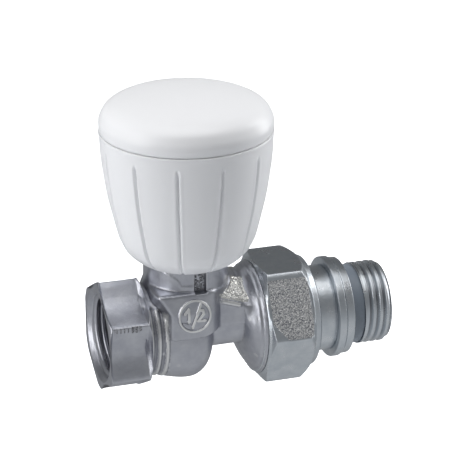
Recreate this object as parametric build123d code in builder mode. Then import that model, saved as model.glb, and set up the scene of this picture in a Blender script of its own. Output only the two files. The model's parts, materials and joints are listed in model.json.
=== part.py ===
from build123d import *
from math import cos, hypot, pi, radians, sin, tan
import os

os.makedirs("parts", exist_ok=True)

# Straight radiator valve with a moulded handwheel and a union tail, in millimetres.
# The origin is the centre of the inlet mouth. +X runs along the pipe from inlet to outlet,
# +Z runs up the stem and -Y is the front. The valve is drawn fully open.

# ---- standard threads -----------------------------------------------------------------------
half_inch_major_d = 20.955
half_inch_minor_d = 18.631
pipe_pitch = 1.814
union_thread_major_d = 26.441

# ---- clearances -----------------------------------------------------------------------------
running_gap = 0.07  # radial, sliding tail in its socket
stem_running_gap = 0.05  # radial, stem in its guides
free_gap = 0.35  # radial, moving parts that never touch
seated_gap = 0.05  # between faces that close on one another

# ---- body -----------------------------------------------------------------------------------
stem_x = 23.3
inlet_hex_af = 26.0
inlet_hex_len = 10.0
inlet_thread_len = 12.0
neck_r = 12.3
neck_groove_depth = 0.45
neck_groove_pitch = 1.9
chamber_r = 12.6
chamber_reach = 6.1  # the chambers' round end beyond the stem axis
chamber_end_round = 7.6
boss_half_width = 12.35
boss_bottom_z = 2.0
boss_nose_run = 2.1
boss_nose_half = 4.5
boss_shoulder_run = 5.6
saddle_half = 9.5
collar_r = 11.1
collar_bottom_z = 13.5
collar_top_z = 22.0
slot_width = 3.0
slot_depth = 1.7
slot_bottom_z = 14.3
branch_r = 9.3
branch_z = 3.6
flare_r = 14.6
spigot_len = 10.4  # from the flare's rim to the body's end
socket_reach = 26.7  # from the stem axis to the body's end
wall = 2.4

# ---- valve seat and stem ----------------------------------------------------------------------
lift = 2.5
upper_chamber_r = 8.3
upper_floor_z = 0.2
seat_bore_r = 5.2
seat_lip_w = 0.8
seat_lip_z = 1.4
stem_r = 1.6
stem_top_z = 42.0

# ---- handwheel --------------------------------------------------------------------------------
wheel_d = 42.9
wheel_base_z = 18.9
wheel_height = 42.4
wheel_wall = 2.0
groove_count = 12
groove_w = 0.9
groove_depth = 0.7
groove_top_z = 50.0
groove_phase = -34.4 - 17.4

# ---- union nut and tail -----------------------------------------------------------------------
nut_af = 30.0
nut_len = 14.3
nut_gap = 0.5
nut_lip = 1.8
tail_d = 21.9
tail_collar_clear = 5.0
tail_collar_r = 12.9
tail_collar_r2 = 12.45
tail_ring_1 = 2.0
tail_ring_2 = 2.3
undercut_len = 2.1
undercut_depth = 1.6
tail_thread_len = 8.7
tail_bore_r = 5.9
key_af = 12.0
ring_wire_r = 0.8

# ---- derived ----------------------------------------------------------------------------------
hex_r = inlet_hex_af / 2 / cos(pi / 6)
nut_r = nut_af / 2 / cos(pi / 6)
wheel_top_z = wheel_base_z + wheel_height
wheel_r = wheel_d / 2
chamber_end_x = stem_x + chamber_reach
boss_nose_x = inlet_hex_len + boss_nose_run
boss_shoulder_x = inlet_hex_len + boss_shoulder_run
body_end_x = stem_x + socket_reach
flare_x = body_end_x - spigot_len
spigot_r = union_thread_major_d / 2
nut_bore_r = spigot_r + free_gap
nut_x = flare_x + nut_gap
nut_end_x = nut_x + nut_len
tail_r = tail_d / 2
tail_collar_x = nut_end_x + tail_collar_clear
undercut_x = tail_collar_x + tail_ring_1 + tail_ring_2
tail_thread_x = undercut_x + undercut_len
tail_end_x = tail_thread_x + tail_thread_len
male_r = half_inch_major_d / 2
undercut_r = male_r - undercut_depth
female_r = half_inch_minor_d / 2
socket_r = male_r + 0.55
head_r = socket_r - running_gap
head_x = body_end_x - 6.6
socket_x = head_x - 0.8
bonnet_r = collar_r - 2.35
neck_bore_r = bonnet_r + seated_gap
stem_axis = Axis((stem_x, 0, 0), (0, 0, 1))


def turned(points, axis, mode=Mode.ADD):
    """Turns a closed outline given as (along X, up Z) points around an axis in the XZ plane."""
    with BuildSketch(Plane.XZ) as outline:
        with BuildLine():
            Polyline(*points, close=True)
        make_face()
    revolve(outline.sketch, axis, mode=mode)


def pipe_turned(points, mode=Mode.ADD):
    """Turns (x, radius) points around the pipe line."""
    turned(points, Axis.X, mode)


def stem_turned(points, mode=Mode.ADD):
    """Turns (radius, z) points around the stem axis."""
    turned([(stem_x + r, z) for r, z in points], stem_axis, mode)


def thread_roots(first_x, count, top_r, depth, mode=Mode.SUBTRACT):
    """Cuts a row of vee grooves at the pipe pitch, inward for depth > 0 and outward for depth < 0."""
    half = abs(depth) * tan(radians(27.5)) + 0.12
    lift_off = 0.3 if depth > 0 else -0.3
    for i in range(count):
        x = first_x + i * pipe_pitch
        spread = half + 0.3 * tan(radians(27.5))
        pipe_turned(
            [
                (x - spread, top_r + lift_off),
                (x - 0.12, top_r - depth),
                (x + 0.12, top_r - depth),
                (x + spread, top_r + lift_off),
            ],
            mode,
        )


# ============================== body ===========================================================
# walls of the upper chamber: rounded at the outlet end, angled in towards the inlet neck
with BuildPart() as boss:
    with BuildSketch(Plane.XY.offset(boss_bottom_z)):
        with BuildLine():
            Line((boss_nose_x, -boss_nose_half), (boss_shoulder_x, -boss_half_width))
            Line(
                (boss_shoulder_x, -boss_half_width),
                (chamber_end_x - chamber_end_round, -boss_half_width),
            )
            RadiusArc(
                (chamber_end_x - chamber_end_round, -boss_half_width),
                (chamber_end_x, chamber_end_round - boss_half_width),
                -chamber_end_round,
            )
            Line(
                (chamber_end_x, chamber_end_round - boss_half_width),
                (chamber_end_x, boss_half_width - chamber_end_round),
            )
            RadiusArc(
                (chamber_end_x, boss_half_width - chamber_end_round),
                (chamber_end_x - chamber_end_round, boss_half_width),
                -chamber_end_round,
            )
            Line(
                (chamber_end_x - chamber_end_round, boss_half_width),
                (boss_shoulder_x, boss_half_width),
            )
            Line((boss_shoulder_x, boss_half_width), (boss_nose_x, boss_nose_half))
            Line((boss_nose_x, boss_nose_half), (boss_nose_x, -boss_nose_half))
        make_face()
    extrude(amount=collar_bottom_z - boss_bottom_z)
    fillet(boss.edges().filter_by(Axis.Z).group_by(Axis.X)[1], 2.0)
    fillet(boss.edges().group_by(Axis.Z)[-1], 0.9)

# saddle over the outlet passage: upright sides and a rough pad each side falling to the flare
saddle_x = stem_x + 5.5
saddle_end_x = flare_x - 2.9


def saddle_section(x, drop):
    """The saddle's cross-section at x, lowered by drop."""
    with BuildSketch(Plane.YZ.offset(x)) as section:
        with BuildLine():
            Polyline(
                (-saddle_half, branch_z - 0.4),
                (-saddle_half, branch_z + 5.7 - 0.6 * drop),
                (-1.6, branch_z + 11.1 - drop),
                (1.6, branch_z + 11.1 - drop),
                (saddle_half, branch_z + 5.7 - 0.6 * drop),
                (saddle_half, branch_z - 0.4),
                close=True,
            )
        make_face()
    return section.sketch


with BuildPart() as saddle:
    loft(
        [
            saddle_section(saddle_x, -0.4),
            saddle_section(saddle_x + 5.5, 0.7),
            saddle_section(saddle_end_x, 2.7),
        ],
        ruled=True,
    )

with BuildPart() as valve_body:
    # inlet hexagon, a corner straight up
    with BuildSketch(Plane.YZ):
        RegularPolygon(hex_r, 6, rotation=30)
    extrude(amount=inlet_hex_len + 1.6)
    # both ends of the hexagon turned down to rounded corners
    with BuildSketch(Plane.XZ):
        with BuildLine():
            Polyline(
                (0, 0),
                (0, hex_r - 1.25),
                (0.75, hex_r + 0.05),
                (inlet_hex_len - 1.2, hex_r + 0.05),
            )
            ThreePointArc(
                (inlet_hex_len - 1.2, hex_r + 0.05),
                (inlet_hex_len + 0.35, hex_r - 0.75),
                (inlet_hex_len + 1.4, neck_r - 0.1),
            )
            Polyline((inlet_hex_len + 1.4, neck_r - 0.1), (inlet_hex_len + 1.4, 0), (0, 0))
        make_face()
    revolve(axis=Axis.X, mode=Mode.INTERSECT)

    # inlet chamber: a round barrel with a ball end, sagging a little under the seat
    barrel_x = inlet_hex_len
    end_start = chamber_end_x - chamber_end_round
    with BuildSketch(Plane.XZ):
        with BuildLine():
            Line((barrel_x, 0), (barrel_x, neck_r))
            Line((barrel_x, neck_r), (barrel_x + 5.4, neck_r))
            Line((barrel_x + 5.4, neck_r), (end_start, chamber_r))
            RadiusArc(
                (end_start, chamber_r),
                (chamber_end_x, chamber_r - chamber_end_round),
                chamber_end_round,
            )
            Line((chamber_end_x, chamber_r - chamber_end_round), (chamber_end_x, 0))
            Line((chamber_end_x, 0), (barrel_x, 0))
        make_face()
    revolve(axis=Axis.X)

    # reeded neck
    for i in range(3):
        x = barrel_x + 1.25 + i * neck_groove_pitch
        pipe_turned(
            [
                (x - 0.75, neck_r + 0.3),
                (x - 0.28, neck_r - neck_groove_depth),
                (x + 0.28, neck_r - neck_groove_depth),
                (x + 0.75, neck_r + 0.3),
            ],
            Mode.SUBTRACT,
        )

    # upper chamber walls rising from the barrel to the collar
    add(boss.part)

    # outlet branch, flaring out to the rim behind the union nut
    with BuildSketch(Plane.YZ.offset(stem_x)):
        with Locations((0, branch_z)):
            Circle(branch_r)
    extrude(amount=flare_x - 5.6 - stem_x)
    with BuildSketch(Plane.YZ.offset(flare_x - 5.6)):
        with Locations((0, branch_z)):
            Circle(branch_r)
    with BuildSketch(Plane.YZ.offset(flare_x - 3.3)):
        with Locations((0, 0.62 * branch_z)):
            Circle(branch_r + 0.8)
    with BuildSketch(Plane.YZ.offset(flare_x - 1.6)):
        with Locations((0, 0.2 * branch_z)):
            Circle(flare_r - 2.4)
    with BuildSketch(Plane.YZ.offset(flare_x - 0.8)):
        Circle(flare_r - 0.9)
    loft()
    # rim of the flare and the threaded spigot the nut screws on
    pipe_turned(
        [
            (flare_x - 0.9, 0),
            (flare_x - 0.9, flare_r - 1.0),
            (flare_x - 0.6, flare_r - 0.2),
            (flare_x - 0.3, flare_r),
            (flare_x, flare_r - 0.25),
            (flare_x, spigot_r - 1.3),
            (flare_x + 1.2, spigot_r - 1.3),
            (flare_x + 1.9, spigot_r),
            (body_end_x - 0.9, spigot_r),
            (body_end_x, spigot_r - 0.9),
            (body_end_x, 0),
        ]
    )
    add(saddle.part)

    # collar above the boss
    with BuildSketch(Plane.XY.offset(collar_bottom_z - 4)):
        with Locations((stem_x, 0)):
            Circle(collar_r)
    extrude(amount=collar_top_z - collar_bottom_z + 4)

    # raised size mark inside a cast ring with an arrow head pointing along the flow
    mark_sink = 0.4
    mark_plane = Plane(
        origin=(stem_x - 1.9, mark_sink - boss_half_width, 8.0), x_dir=(1, 0, 0), z_dir=(0, -1, 0)
    )
    with BuildSketch(mark_plane):
        Circle(4.25)
        Circle(3.8, mode=Mode.SUBTRACT)
        with Locations((3.1, 2.3)):
            RegularPolygon(1.0, 3, rotation=0)
    extrude(amount=mark_sink + 0.3)
    with BuildSketch(mark_plane):
        with Locations((-1.75, 0.75)):
            Rectangle(0.55, 2.6)
        with Locations((-2.05, 1.75)):
            Rectangle(0.9, 0.45, rotation=45)
        Rectangle(0.42, 5.2, rotation=-28)
        # figure two: bow, diagonal and foot
        with BuildLine():
            Polyline(
                (0.75, -0.45),
                (1.0, 0.15),
                (1.55, 0.35),
                (2.15, 0.05),
                (2.3, -0.55),
                (1.45, -1.75),
                (2.4, -1.75),
                (2.4, -2.2),
                (0.7, -2.2),
                (0.7, -1.9),
                (1.8, -0.6),
                (1.75, -0.25),
                (1.5, -0.12),
                (1.3, -0.2),
                (1.2, -0.55),
                close=True,
            )
        make_face()
    extrude(amount=mark_sink + 0.25)

    # waterway: threaded inlet, half-round port under the seat, seat bore, upper chamber
    pipe_turned(
        [
            (-1, 0),
            (-1, male_r + 1.9),
            (0, male_r + 0.3),
            (0.9, female_r),
            (inlet_thread_len, female_r),
            (inlet_thread_len + 1.2, female_r - 0.9),
            (inlet_thread_len + 1.2, 0),
        ],
        Mode.SUBTRACT,
    )
    thread_roots(2.3, 5, female_r, -1.0)
    with BuildSketch(Plane.YZ.offset(inlet_thread_len)):
        Circle(chamber_r - 3.6)
        with Locations((0, -2.0)):
            Rectangle(
                4 * chamber_r,
                4 * chamber_r,
                align=(Align.CENTER, Align.MIN),
                mode=Mode.SUBTRACT,
            )
    extrude(amount=chamber_end_x - 3.2 - inlet_thread_len, mode=Mode.SUBTRACT)
    stem_turned(
        [(0, -4), (seat_bore_r, -4), (seat_bore_r, seat_lip_z + 0.01), (0, seat_lip_z + 0.01)],
        Mode.SUBTRACT,
    )
    lip_r = seat_bore_r + seat_lip_w
    stem_turned(
        [
            (seat_bore_r - 0.01, seat_lip_z),
            (lip_r, seat_lip_z),
            (lip_r + 0.5, upper_floor_z),
            (upper_chamber_r, upper_floor_z),
            (upper_chamber_r, 10),
            (neck_bore_r, 10),
            (neck_bore_r, collar_top_z + 1),
            (0, collar_top_z + 1),
            (0, seat_lip_z),
        ],
        Mode.SUBTRACT,
    )
    # outlet passage falling from the upper chamber to the union socket
    passage_start = Vector(stem_x, 0, branch_z + 1.0)
    passage_run = Vector(socket_x + 0.5 - stem_x, 0, -branch_z)
    with BuildSketch(
        Plane(origin=passage_start, x_dir=(0, 1, 0), z_dir=tuple(passage_run))
    ):
        Circle(branch_r - wall - 0.9)
    extrude(amount=passage_run.length, mode=Mode.SUBTRACT)
    pipe_turned(
        [
            (socket_x, 0),
            (socket_x, socket_r - 1.2),
            (socket_x + 0.8, socket_r),
            (body_end_x - 0.6, socket_r),
            (body_end_x + 0.1, socket_r + 0.7),
            (body_end_x + 0.1, 0),
        ],
        Mode.SUBTRACT,
    )
    # two locating slots in the collar, front and back
    with Locations(
        (stem_x, -collar_r + slot_depth / 2, (slot_bottom_z + collar_top_z + 1) / 2),
        (stem_x, collar_r - slot_depth / 2, (slot_bottom_z + collar_top_z + 1) / 2),
    ):
        Box(
            slot_width,
            slot_depth + 0.02,
            collar_top_z + 1 - slot_bottom_z,
            mode=Mode.SUBTRACT,
        )
valve_body.part.label = "valve_body"
export_step(valve_body.part, "parts/valve_body.step")

# ============================== headwork fixed in the neck =====================================
cage_floor_z = 15.6
cage_r = 5.0
barrel_out_r = 7.0
barrel_top_z = 36.0
gland_z = 30.4

with BuildPart() as bonnet:
    stem_turned(
        [
            (stem_r + stem_running_gap, 10),
            (bonnet_r, 10),
            (bonnet_r, 20.0),
            (bonnet_r - 0.95, 20.0),
            (bonnet_r - 0.95, 21.3),
            (bonnet_r, 21.3),
            (bonnet_r, collar_top_z),
            (collar_r - 0.6, collar_top_z),
            (collar_r - 0.6, collar_top_z + 2.0),
            (collar_r - 1.1, collar_top_z + 2.5),
            (barrel_out_r, collar_top_z + 2.5),
            (barrel_out_r, barrel_top_z - 0.6),
            (barrel_out_r - 0.6, barrel_top_z),
            (cage_r + 0.6, barrel_top_z),
            (cage_r + 0.6, gland_z),
            (cage_r, gland_z - 0.6),
            (cage_r, cage_floor_z),
            (stem_r + stem_running_gap, cage_floor_z),
        ]
    )
    # spanner flats across the flange
    with Locations(
        (stem_x, collar_r - 0.6, collar_top_z + 1.25), (stem_x, -collar_r + 0.6, collar_top_z + 1.25)
    ):
        Box(2 * collar_r, 2.4, 2.52, mode=Mode.SUBTRACT)
bonnet.part.label = "bonnet"
export_step(bonnet.part, "parts/bonnet.step")

with BuildPart() as bonnet_o_ring:
    with BuildSketch(Plane.XZ):
        with Locations((stem_x + bonnet_r - 0.45, 20.65)):
            Circle(0.48)
    revolve(axis=stem_axis)
bonnet_o_ring.part.label = "bonnet_o_ring"
export_step(bonnet_o_ring.part, "parts/bonnet_o_ring.step")

gland_top_z = barrel_top_z + 2.4
gland_seal_z = gland_z + 2.4
with BuildPart() as gland_nut:
    stem_turned(
        [
            (stem_r + stem_running_gap, gland_seal_z),
            (stem_r + 1.2, gland_seal_z),
            (stem_r + 1.2, gland_z),
            (cage_r + 0.6 - seated_gap, gland_z),
            (cage_r + 0.6 - seated_gap, barrel_top_z),
            (cage_r + 1.2, barrel_top_z),
            (cage_r + 1.2, gland_top_z),
            (stem_r + stem_running_gap, gland_top_z),
        ]
    )
    with BuildSketch(Plane.XY.offset(barrel_top_z)):
        with Locations((stem_x, 0)):
            Circle(cage_r + 3)
            RegularPolygon(cage_r + 0.9, 6, mode=Mode.SUBTRACT)
    extrude(amount=gland_top_z - barrel_top_z + 1, mode=Mode.SUBTRACT)
gland_nut.part.label = "gland_nut"
export_step(gland_nut.part, "parts/gland_nut.step")

with BuildPart() as gland_washer:
    stem_turned(
        [
            (stem_r + 0.12, gland_z - 0.6),
            (cage_r - 0.05, gland_z - 0.6),
            (cage_r - 0.05, gland_z),
            (stem_r + 0.12, gland_z),
        ]
    )
gland_washer.part.label = "gland_washer"
export_step(gland_washer.part, "parts/gland_washer.step")

with BuildPart() as stem_o_rings:
    with BuildSketch(Plane.XZ):
        with Locations(
            (stem_x + stem_r + 0.6, gland_z + 0.62), (stem_x + stem_r + 0.6, gland_z + 1.78)
        ):
            Circle(0.56)
    revolve(axis=stem_axis)
stem_o_rings.part.label = "stem_o_rings"
export_step(stem_o_rings.part, "parts/stem_o_rings.step")

# ring in a groove near the top of the bonnet barrel that stops the drive bush climbing off
with BuildPart() as travel_stop:
    with BuildSketch(Plane.XY.offset(barrel_top_z - 4.0)):
        with Locations((stem_x, 0)):
            Circle(barrel_out_r + 0.9)
            Circle(barrel_out_r, mode=Mode.SUBTRACT)
            with Locations((0, barrel_out_r)):
                Rectangle(2.2, 4, mode=Mode.SUBTRACT)
    extrude(amount=1.0)
travel_stop.part.label = "travel_stop"
export_step(travel_stop.part, "parts/travel_stop.step")

# ============================== stem and closing disc ==========================================
disc_bottom_z = seat_lip_z + lift + 0.1
disc_r = lip_r + 0.5
cup_z = cage_floor_z + 11.0
screw_r = 1.2

with BuildPart() as stem_pin:
    stem_turned(
        [
            (0, disc_bottom_z + 3.0),
            (stem_r, disc_bottom_z + 3.0),
            (stem_r, cup_z + 1.0),
            (stem_r - 0.35, cup_z + 1.0),
            (stem_r - 0.35, cup_z + 1.6),
            (stem_r, cup_z + 1.6),
            (stem_r, stem_top_z - 0.5),
            (stem_r - 0.5, stem_top_z),
            (0, stem_top_z),
        ]
    )
stem_pin.part.label = "stem_pin"
export_step(stem_pin.part, "parts/stem_pin.step")

with BuildPart() as disc_holder:
    stem_turned(
        [
            (screw_r, disc_bottom_z + 1.8),
            (disc_r - 0.5, disc_bottom_z + 1.8),
            (disc_r - 0.5, disc_bottom_z + 0.9),
            (disc_r + 0.3, disc_bottom_z + 0.9),
            (disc_r + 0.3, disc_bottom_z + 2.9),
            (disc_r - 0.5, disc_bottom_z + 3.6),
            (stem_r + 1.2, disc_bottom_z + 3.6),
            (stem_r + 1.2, disc_bottom_z + 5.2),
            (stem_r, disc_bottom_z + 5.2),
            (stem_r, disc_bottom_z + 3.0),
            (screw_r, disc_bottom_z + 3.0),
        ]
    )
disc_holder.part.label = "disc_holder"
export_step(disc_holder.part, "parts/disc_holder.step")

with BuildPart() as seat_washer:
    stem_turned(
        [
            (screw_r + 0.1, disc_bottom_z),
            (disc_r - 0.9, disc_bottom_z),
            (disc_r - 0.6, disc_bottom_z + 0.3),
            (disc_r - 0.6, disc_bottom_z + 1.8),
            (screw_r + 0.1, disc_bottom_z + 1.8),
        ]
    )
seat_washer.part.label = "seat_washer"
export_step(seat_washer.part, "parts/seat_washer.step")

with BuildPart() as washer_screw:
    stem_turned(
        [
            (0, disc_bottom_z - 1.1),
            (2.4, disc_bottom_z - 1.1),
            (2.8, disc_bottom_z - 0.7),
            (2.8, disc_bottom_z),
            (screw_r, disc_bottom_z),
            (screw_r, disc_bottom_z + 2.9),
            (0, disc_bottom_z + 2.9),
        ]
    )
    with Locations((stem_x, 0, disc_bottom_z - 1.1)):
        Box(6, 0.7, 1.0, mode=Mode.SUBTRACT)
washer_screw.part.label = "washer_screw"
export_step(washer_screw.part, "parts/washer_screw.step")

with BuildPart() as spring_cup:
    stem_turned(
        [
            (stem_r, cup_z),
            (cage_r - free_gap, cup_z),
            (cage_r - free_gap, cup_z + 0.5),
            (stem_r + 1.1, cup_z + 1.0),
            (stem_r, cup_z + 1.0),
        ]
    )
spring_cup.part.label = "spring_cup"
export_step(spring_cup.part, "parts/spring_cup.step")

with BuildPart() as stem_clip:
    with BuildSketch(Plane.XY.offset(cup_z + 1.0)):
        with Locations((stem_x, 0)):
            Circle(stem_r + 0.75)
            Circle(stem_r - 0.35, mode=Mode.SUBTRACT)
            with Locations((0, stem_r)):
                Rectangle(1.5, 3.6, mode=Mode.SUBTRACT)
    extrude(amount=0.6)
stem_clip.part.label = "stem_clip"
export_step(stem_clip.part, "parts/stem_clip.step")

spring_wire_r = 0.4
spring_mean_r = cage_r - 1.35
spring_turns = 5
spring_run = cup_z - cage_floor_z - 2 * spring_wire_r
with BuildPart() as return_spring:
    with BuildLine() as coil:
        Helix(
            pitch=spring_run / spring_turns,
            height=spring_run,
            radius=spring_mean_r,
            center=(stem_x, 0, cage_floor_z + spring_wire_r),
        )
    with BuildSketch(Plane(coil.line @ 0, z_dir=coil.line % 0)):
        Circle(spring_wire_r)
    sweep(path=coil.line, is_frenet=True)
return_spring.part.label = "return_spring"
export_step(return_spring.part, "parts/return_spring.step")

# ============================== handwheel ======================================================
# outside of the wheel as (height share from base to top, radius share of the largest radius)
wheel_side = [
    (0.000, 0.540),
    (0.022, 0.612),
    (0.073, 0.716),
    (0.120, 0.767),
    (0.167, 0.802),
    (0.285, 0.859),
    (0.403, 0.911),
    (0.521, 0.947),
    (0.639, 0.978),
    (0.733, 0.992),
    (0.795, 0.998),
]
wheel_dome = [
    (0.800, 1.000),
    (0.850, 0.996),
    (0.885, 0.976),
    (0.920, 0.936),
    (0.946, 0.870),
    (0.968, 0.760),
    (0.984, 0.560),
    (0.994, 0.300),
    (1.000, 0.000),
]


def wheel_points(shares, inset=0.0):
    """(radius, z) of the wheel's side for a table of shares, moved inward by inset."""
    points = [(r * wheel_r, wheel_base_z + h * wheel_height) for h, r in shares]
    if not inset:
        return points
    moved = []
    for i, (r, z) in enumerate(points):
        r0, z0 = points[max(i - 1, 0)]
        r1, z1 = points[min(i + 1, len(points) - 1)]
        run = hypot(r1 - r0, z1 - z0)
        moved.append((r - inset * (z1 - z0) / run, z + inset * (r1 - r0) / run))
    return moved


def stem_outline(curve, tail_points):
    """Revolves an outline made of one smooth curve and straight closing lines."""
    with BuildSketch(Plane.XZ) as outline:
        with BuildLine():
            Spline(*[(stem_x + r, z) for r, z in curve])
            Polyline(*[(stem_x + r, z) for r, z in [curve[-1], *tail_points, curve[0]]])
        make_face()
    return revolve(outline.sketch, stem_axis, mode=Mode.PRIVATE)


skirt_out = wheel_points(wheel_side)
skirt_in = wheel_points(wheel_side, wheel_wall)
base_r = collar_r + free_gap
web_z = 45.6
web_t = 2.2
web_r = wheel_r - 1.4

with BuildPart() as skirt_blank:
    add(
        stem_outline(
            skirt_out,
            [(wheel_r * 0.95, skirt_out[-1][1]), (base_r, skirt_out[-1][1]), (base_r, wheel_base_z)],
        )
    )
with BuildPart() as skirt_core:
    inner = [p for p in skirt_in if p[1] > wheel_base_z + 1.6]
    add(
        stem_outline(
            inner,
            [(inner[-1][0], wheel_top_z), (0, wheel_top_z), (0, inner[0][1])],
        )
    )
with BuildPart() as groove_core:
    deep = wheel_points(wheel_side, groove_depth)
    add(stem_outline(deep, [(deep[-1][0], wheel_top_z), (0, wheel_top_z), (0, deep[0][1])]))
with BuildPart() as groove_cutters:
    with Locations((stem_x, 0, 0)):
        with PolarLocations(0, groove_count, start_angle=groove_phase - 90):
            with Locations((wheel_r * 0.8, 0, (groove_top_z + wheel_base_z - 2) / 2)):
                Box(wheel_r * 0.8, groove_w, groove_top_z - wheel_base_z + 2)
    add(groove_core.part, mode=Mode.SUBTRACT)

with BuildPart() as handwheel_skirt:
    add(skirt_blank.part)
    add(skirt_core.part, mode=Mode.SUBTRACT)
    # web that carries the drive bush
    with BuildSketch(Plane.XY.offset(web_z)):
        with Locations((stem_x, 0)):
            Circle(web_r)
            with PolarLocations(7.5, 3):
                Circle(1.3, mode=Mode.SUBTRACT)
    extrude(amount=web_t)
    # ribs under the web
    with Locations((stem_x, 0, 0)):
        with PolarLocations(0, 6, start_angle=30):
            with Locations((15.6, 0, web_z - 3.0)):
                Box(5.2, 1.2, 6.4)
    add(groove_cutters.part, mode=Mode.SUBTRACT)
handwheel_skirt.part.label = "handwheel_skirt"
export_step(handwheel_skirt.part, "parts/handwheel_skirt.step")

dome_out = wheel_points(wheel_dome)
cap_z = dome_out[0][1]
plug_r = skirt_in[-2][0] - 0.1
with BuildPart() as handwheel_cap:
    add(stem_outline(dome_out, [(0, cap_z)]))
    stem_turned(
        [(0, cap_z - 3.0), (plug_r, cap_z - 3.0), (plug_r, cap_z + 0.2), (0, cap_z + 0.2)]
    )
    inner_dome = [
        (0, cap_z - 3.1),
        (plug_r - 1.6, cap_z - 3.1),
        (plug_r - 1.6, cap_z + 1.2),
        (plug_r - 3.4, wheel_top_z - 4.2),
        (plug_r - 8.0, wheel_top_z - 3.0),
        (0, wheel_top_z - 2.2),
    ]
    stem_turned(inner_dome, Mode.SUBTRACT)
handwheel_cap.part.label = "handwheel_cap"
export_step(handwheel_cap.part, "parts/handwheel_cap.step")

bush_bore_r = barrel_out_r + 0.9 + free_gap
with BuildPart() as drive_bush:
    stem_turned(
        [
            (0, stem_top_z + 1.05),
            (bush_bore_r, stem_top_z + 1.05),
            (bush_bore_r, collar_top_z + 8.5),
            (bush_bore_r + 1.6, collar_top_z + 8.5),
            (bush_bore_r + 1.6, web_z - 2.0),
            (bush_bore_r + 3.4, web_z - 2.0),
            (bush_bore_r + 3.4, web_z),
            (0, web_z),
        ]
    )
    with Locations((stem_x, 0, web_z)):
        with PolarLocations(7.5, 3):
            Cylinder(
                1.0, 1.8, align=(Align.CENTER, Align.CENTER, Align.MAX), mode=Mode.SUBTRACT
            )
drive_bush.part.label = "drive_bush"
export_step(drive_bush.part, "parts/drive_bush.step")

with BuildPart() as thrust_pad:
    stem_turned(
        [
            (0, stem_top_z + seated_gap),
            (3.2, stem_top_z + seated_gap),
            (3.5, stem_top_z + seated_gap + 0.3),
            (3.5, stem_top_z + 1.05),
            (0, stem_top_z + 1.05),
        ]
    )
thrust_pad.part.label = "thrust_pad"
export_step(thrust_pad.part, "parts/thrust_pad.step")

with BuildPart() as bush_screws:
    with Locations((stem_x, 0, web_z + web_t)):
        with PolarLocations(7.5, 3):
            Cylinder(2.2, 1.2, align=(Align.CENTER, Align.CENTER, Align.MIN))
            Cylinder(1.0, web_t + 1.7, align=(Align.CENTER, Align.CENTER, Align.MAX))
            with Locations((0, 0, 1.2)):
                Box(3.0, 0.6, 1.0, mode=Mode.SUBTRACT)
                Box(0.6, 3.0, 1.0, mode=Mode.SUBTRACT)
bush_screws.part.label = "bush_screws"
export_step(bush_screws.part, "parts/bush_screws.step")

# ============================== union ==========================================================
ring_x = nut_end_x - nut_lip - ring_wire_r - 0.05
ring_r = head_r + 0.1

with BuildPart() as union_nut:
    with BuildSketch(Plane.YZ.offset(nut_x)):
        RegularPolygon(nut_r, 6)
    extrude(amount=nut_len)
    with BuildSketch(Plane.XZ):
        with BuildLine():
            Polyline(
                (nut_x, 0),
                (nut_x, nut_af / 2 + 0.1),
                (nut_x + 1.1, nut_r + 0.05),
                (nut_end_x - 3.0, nut_r + 0.05),
            )
            ThreePointArc(
                (nut_end_x - 3.0, nut_r + 0.05),
                (nut_end_x - 1.0, nut_r - 1.15),
                (nut_end_x, nut_r - 3.1),
            )
            Polyline((nut_end_x, nut_r - 3.1), (nut_end_x, 0), (nut_x, 0))
        make_face()
    revolve(axis=Axis.X, mode=Mode.INTERSECT)
    pipe_turned(
        [
            (nut_x - 1, 0),
            (nut_x - 1, nut_bore_r + 0.9),
            (nut_x + 0.5, nut_bore_r),
            (nut_end_x - nut_lip - 0.5, nut_bore_r),
            (nut_end_x - nut_lip, nut_bore_r - 0.5),
            (nut_end_x - nut_lip, tail_r + free_gap),
            (nut_end_x + 1, tail_r + free_gap),
            (nut_end_x + 1, 0),
        ],
        Mode.SUBTRACT,
    )
    # shallow windows sunk in the six flats
    for k in range(6):
        angle = radians(30 + 60 * k)
        window = Plane(
            origin=(nut_x + nut_len / 2 - 0.3, nut_af / 2 * cos(angle), nut_af / 2 * sin(angle)),
            x_dir=(1, 0, 0),
            z_dir=(0, cos(angle), sin(angle)),
        )
        with BuildSketch(window):
            RectangleRounded(nut_len * 0.60, nut_r * 0.80, 0.8)
        extrude(amount=-0.18, mode=Mode.SUBTRACT)
union_nut.part.label = "union_nut"
export_step(union_nut.part, "parts/union_nut.step")

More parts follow.
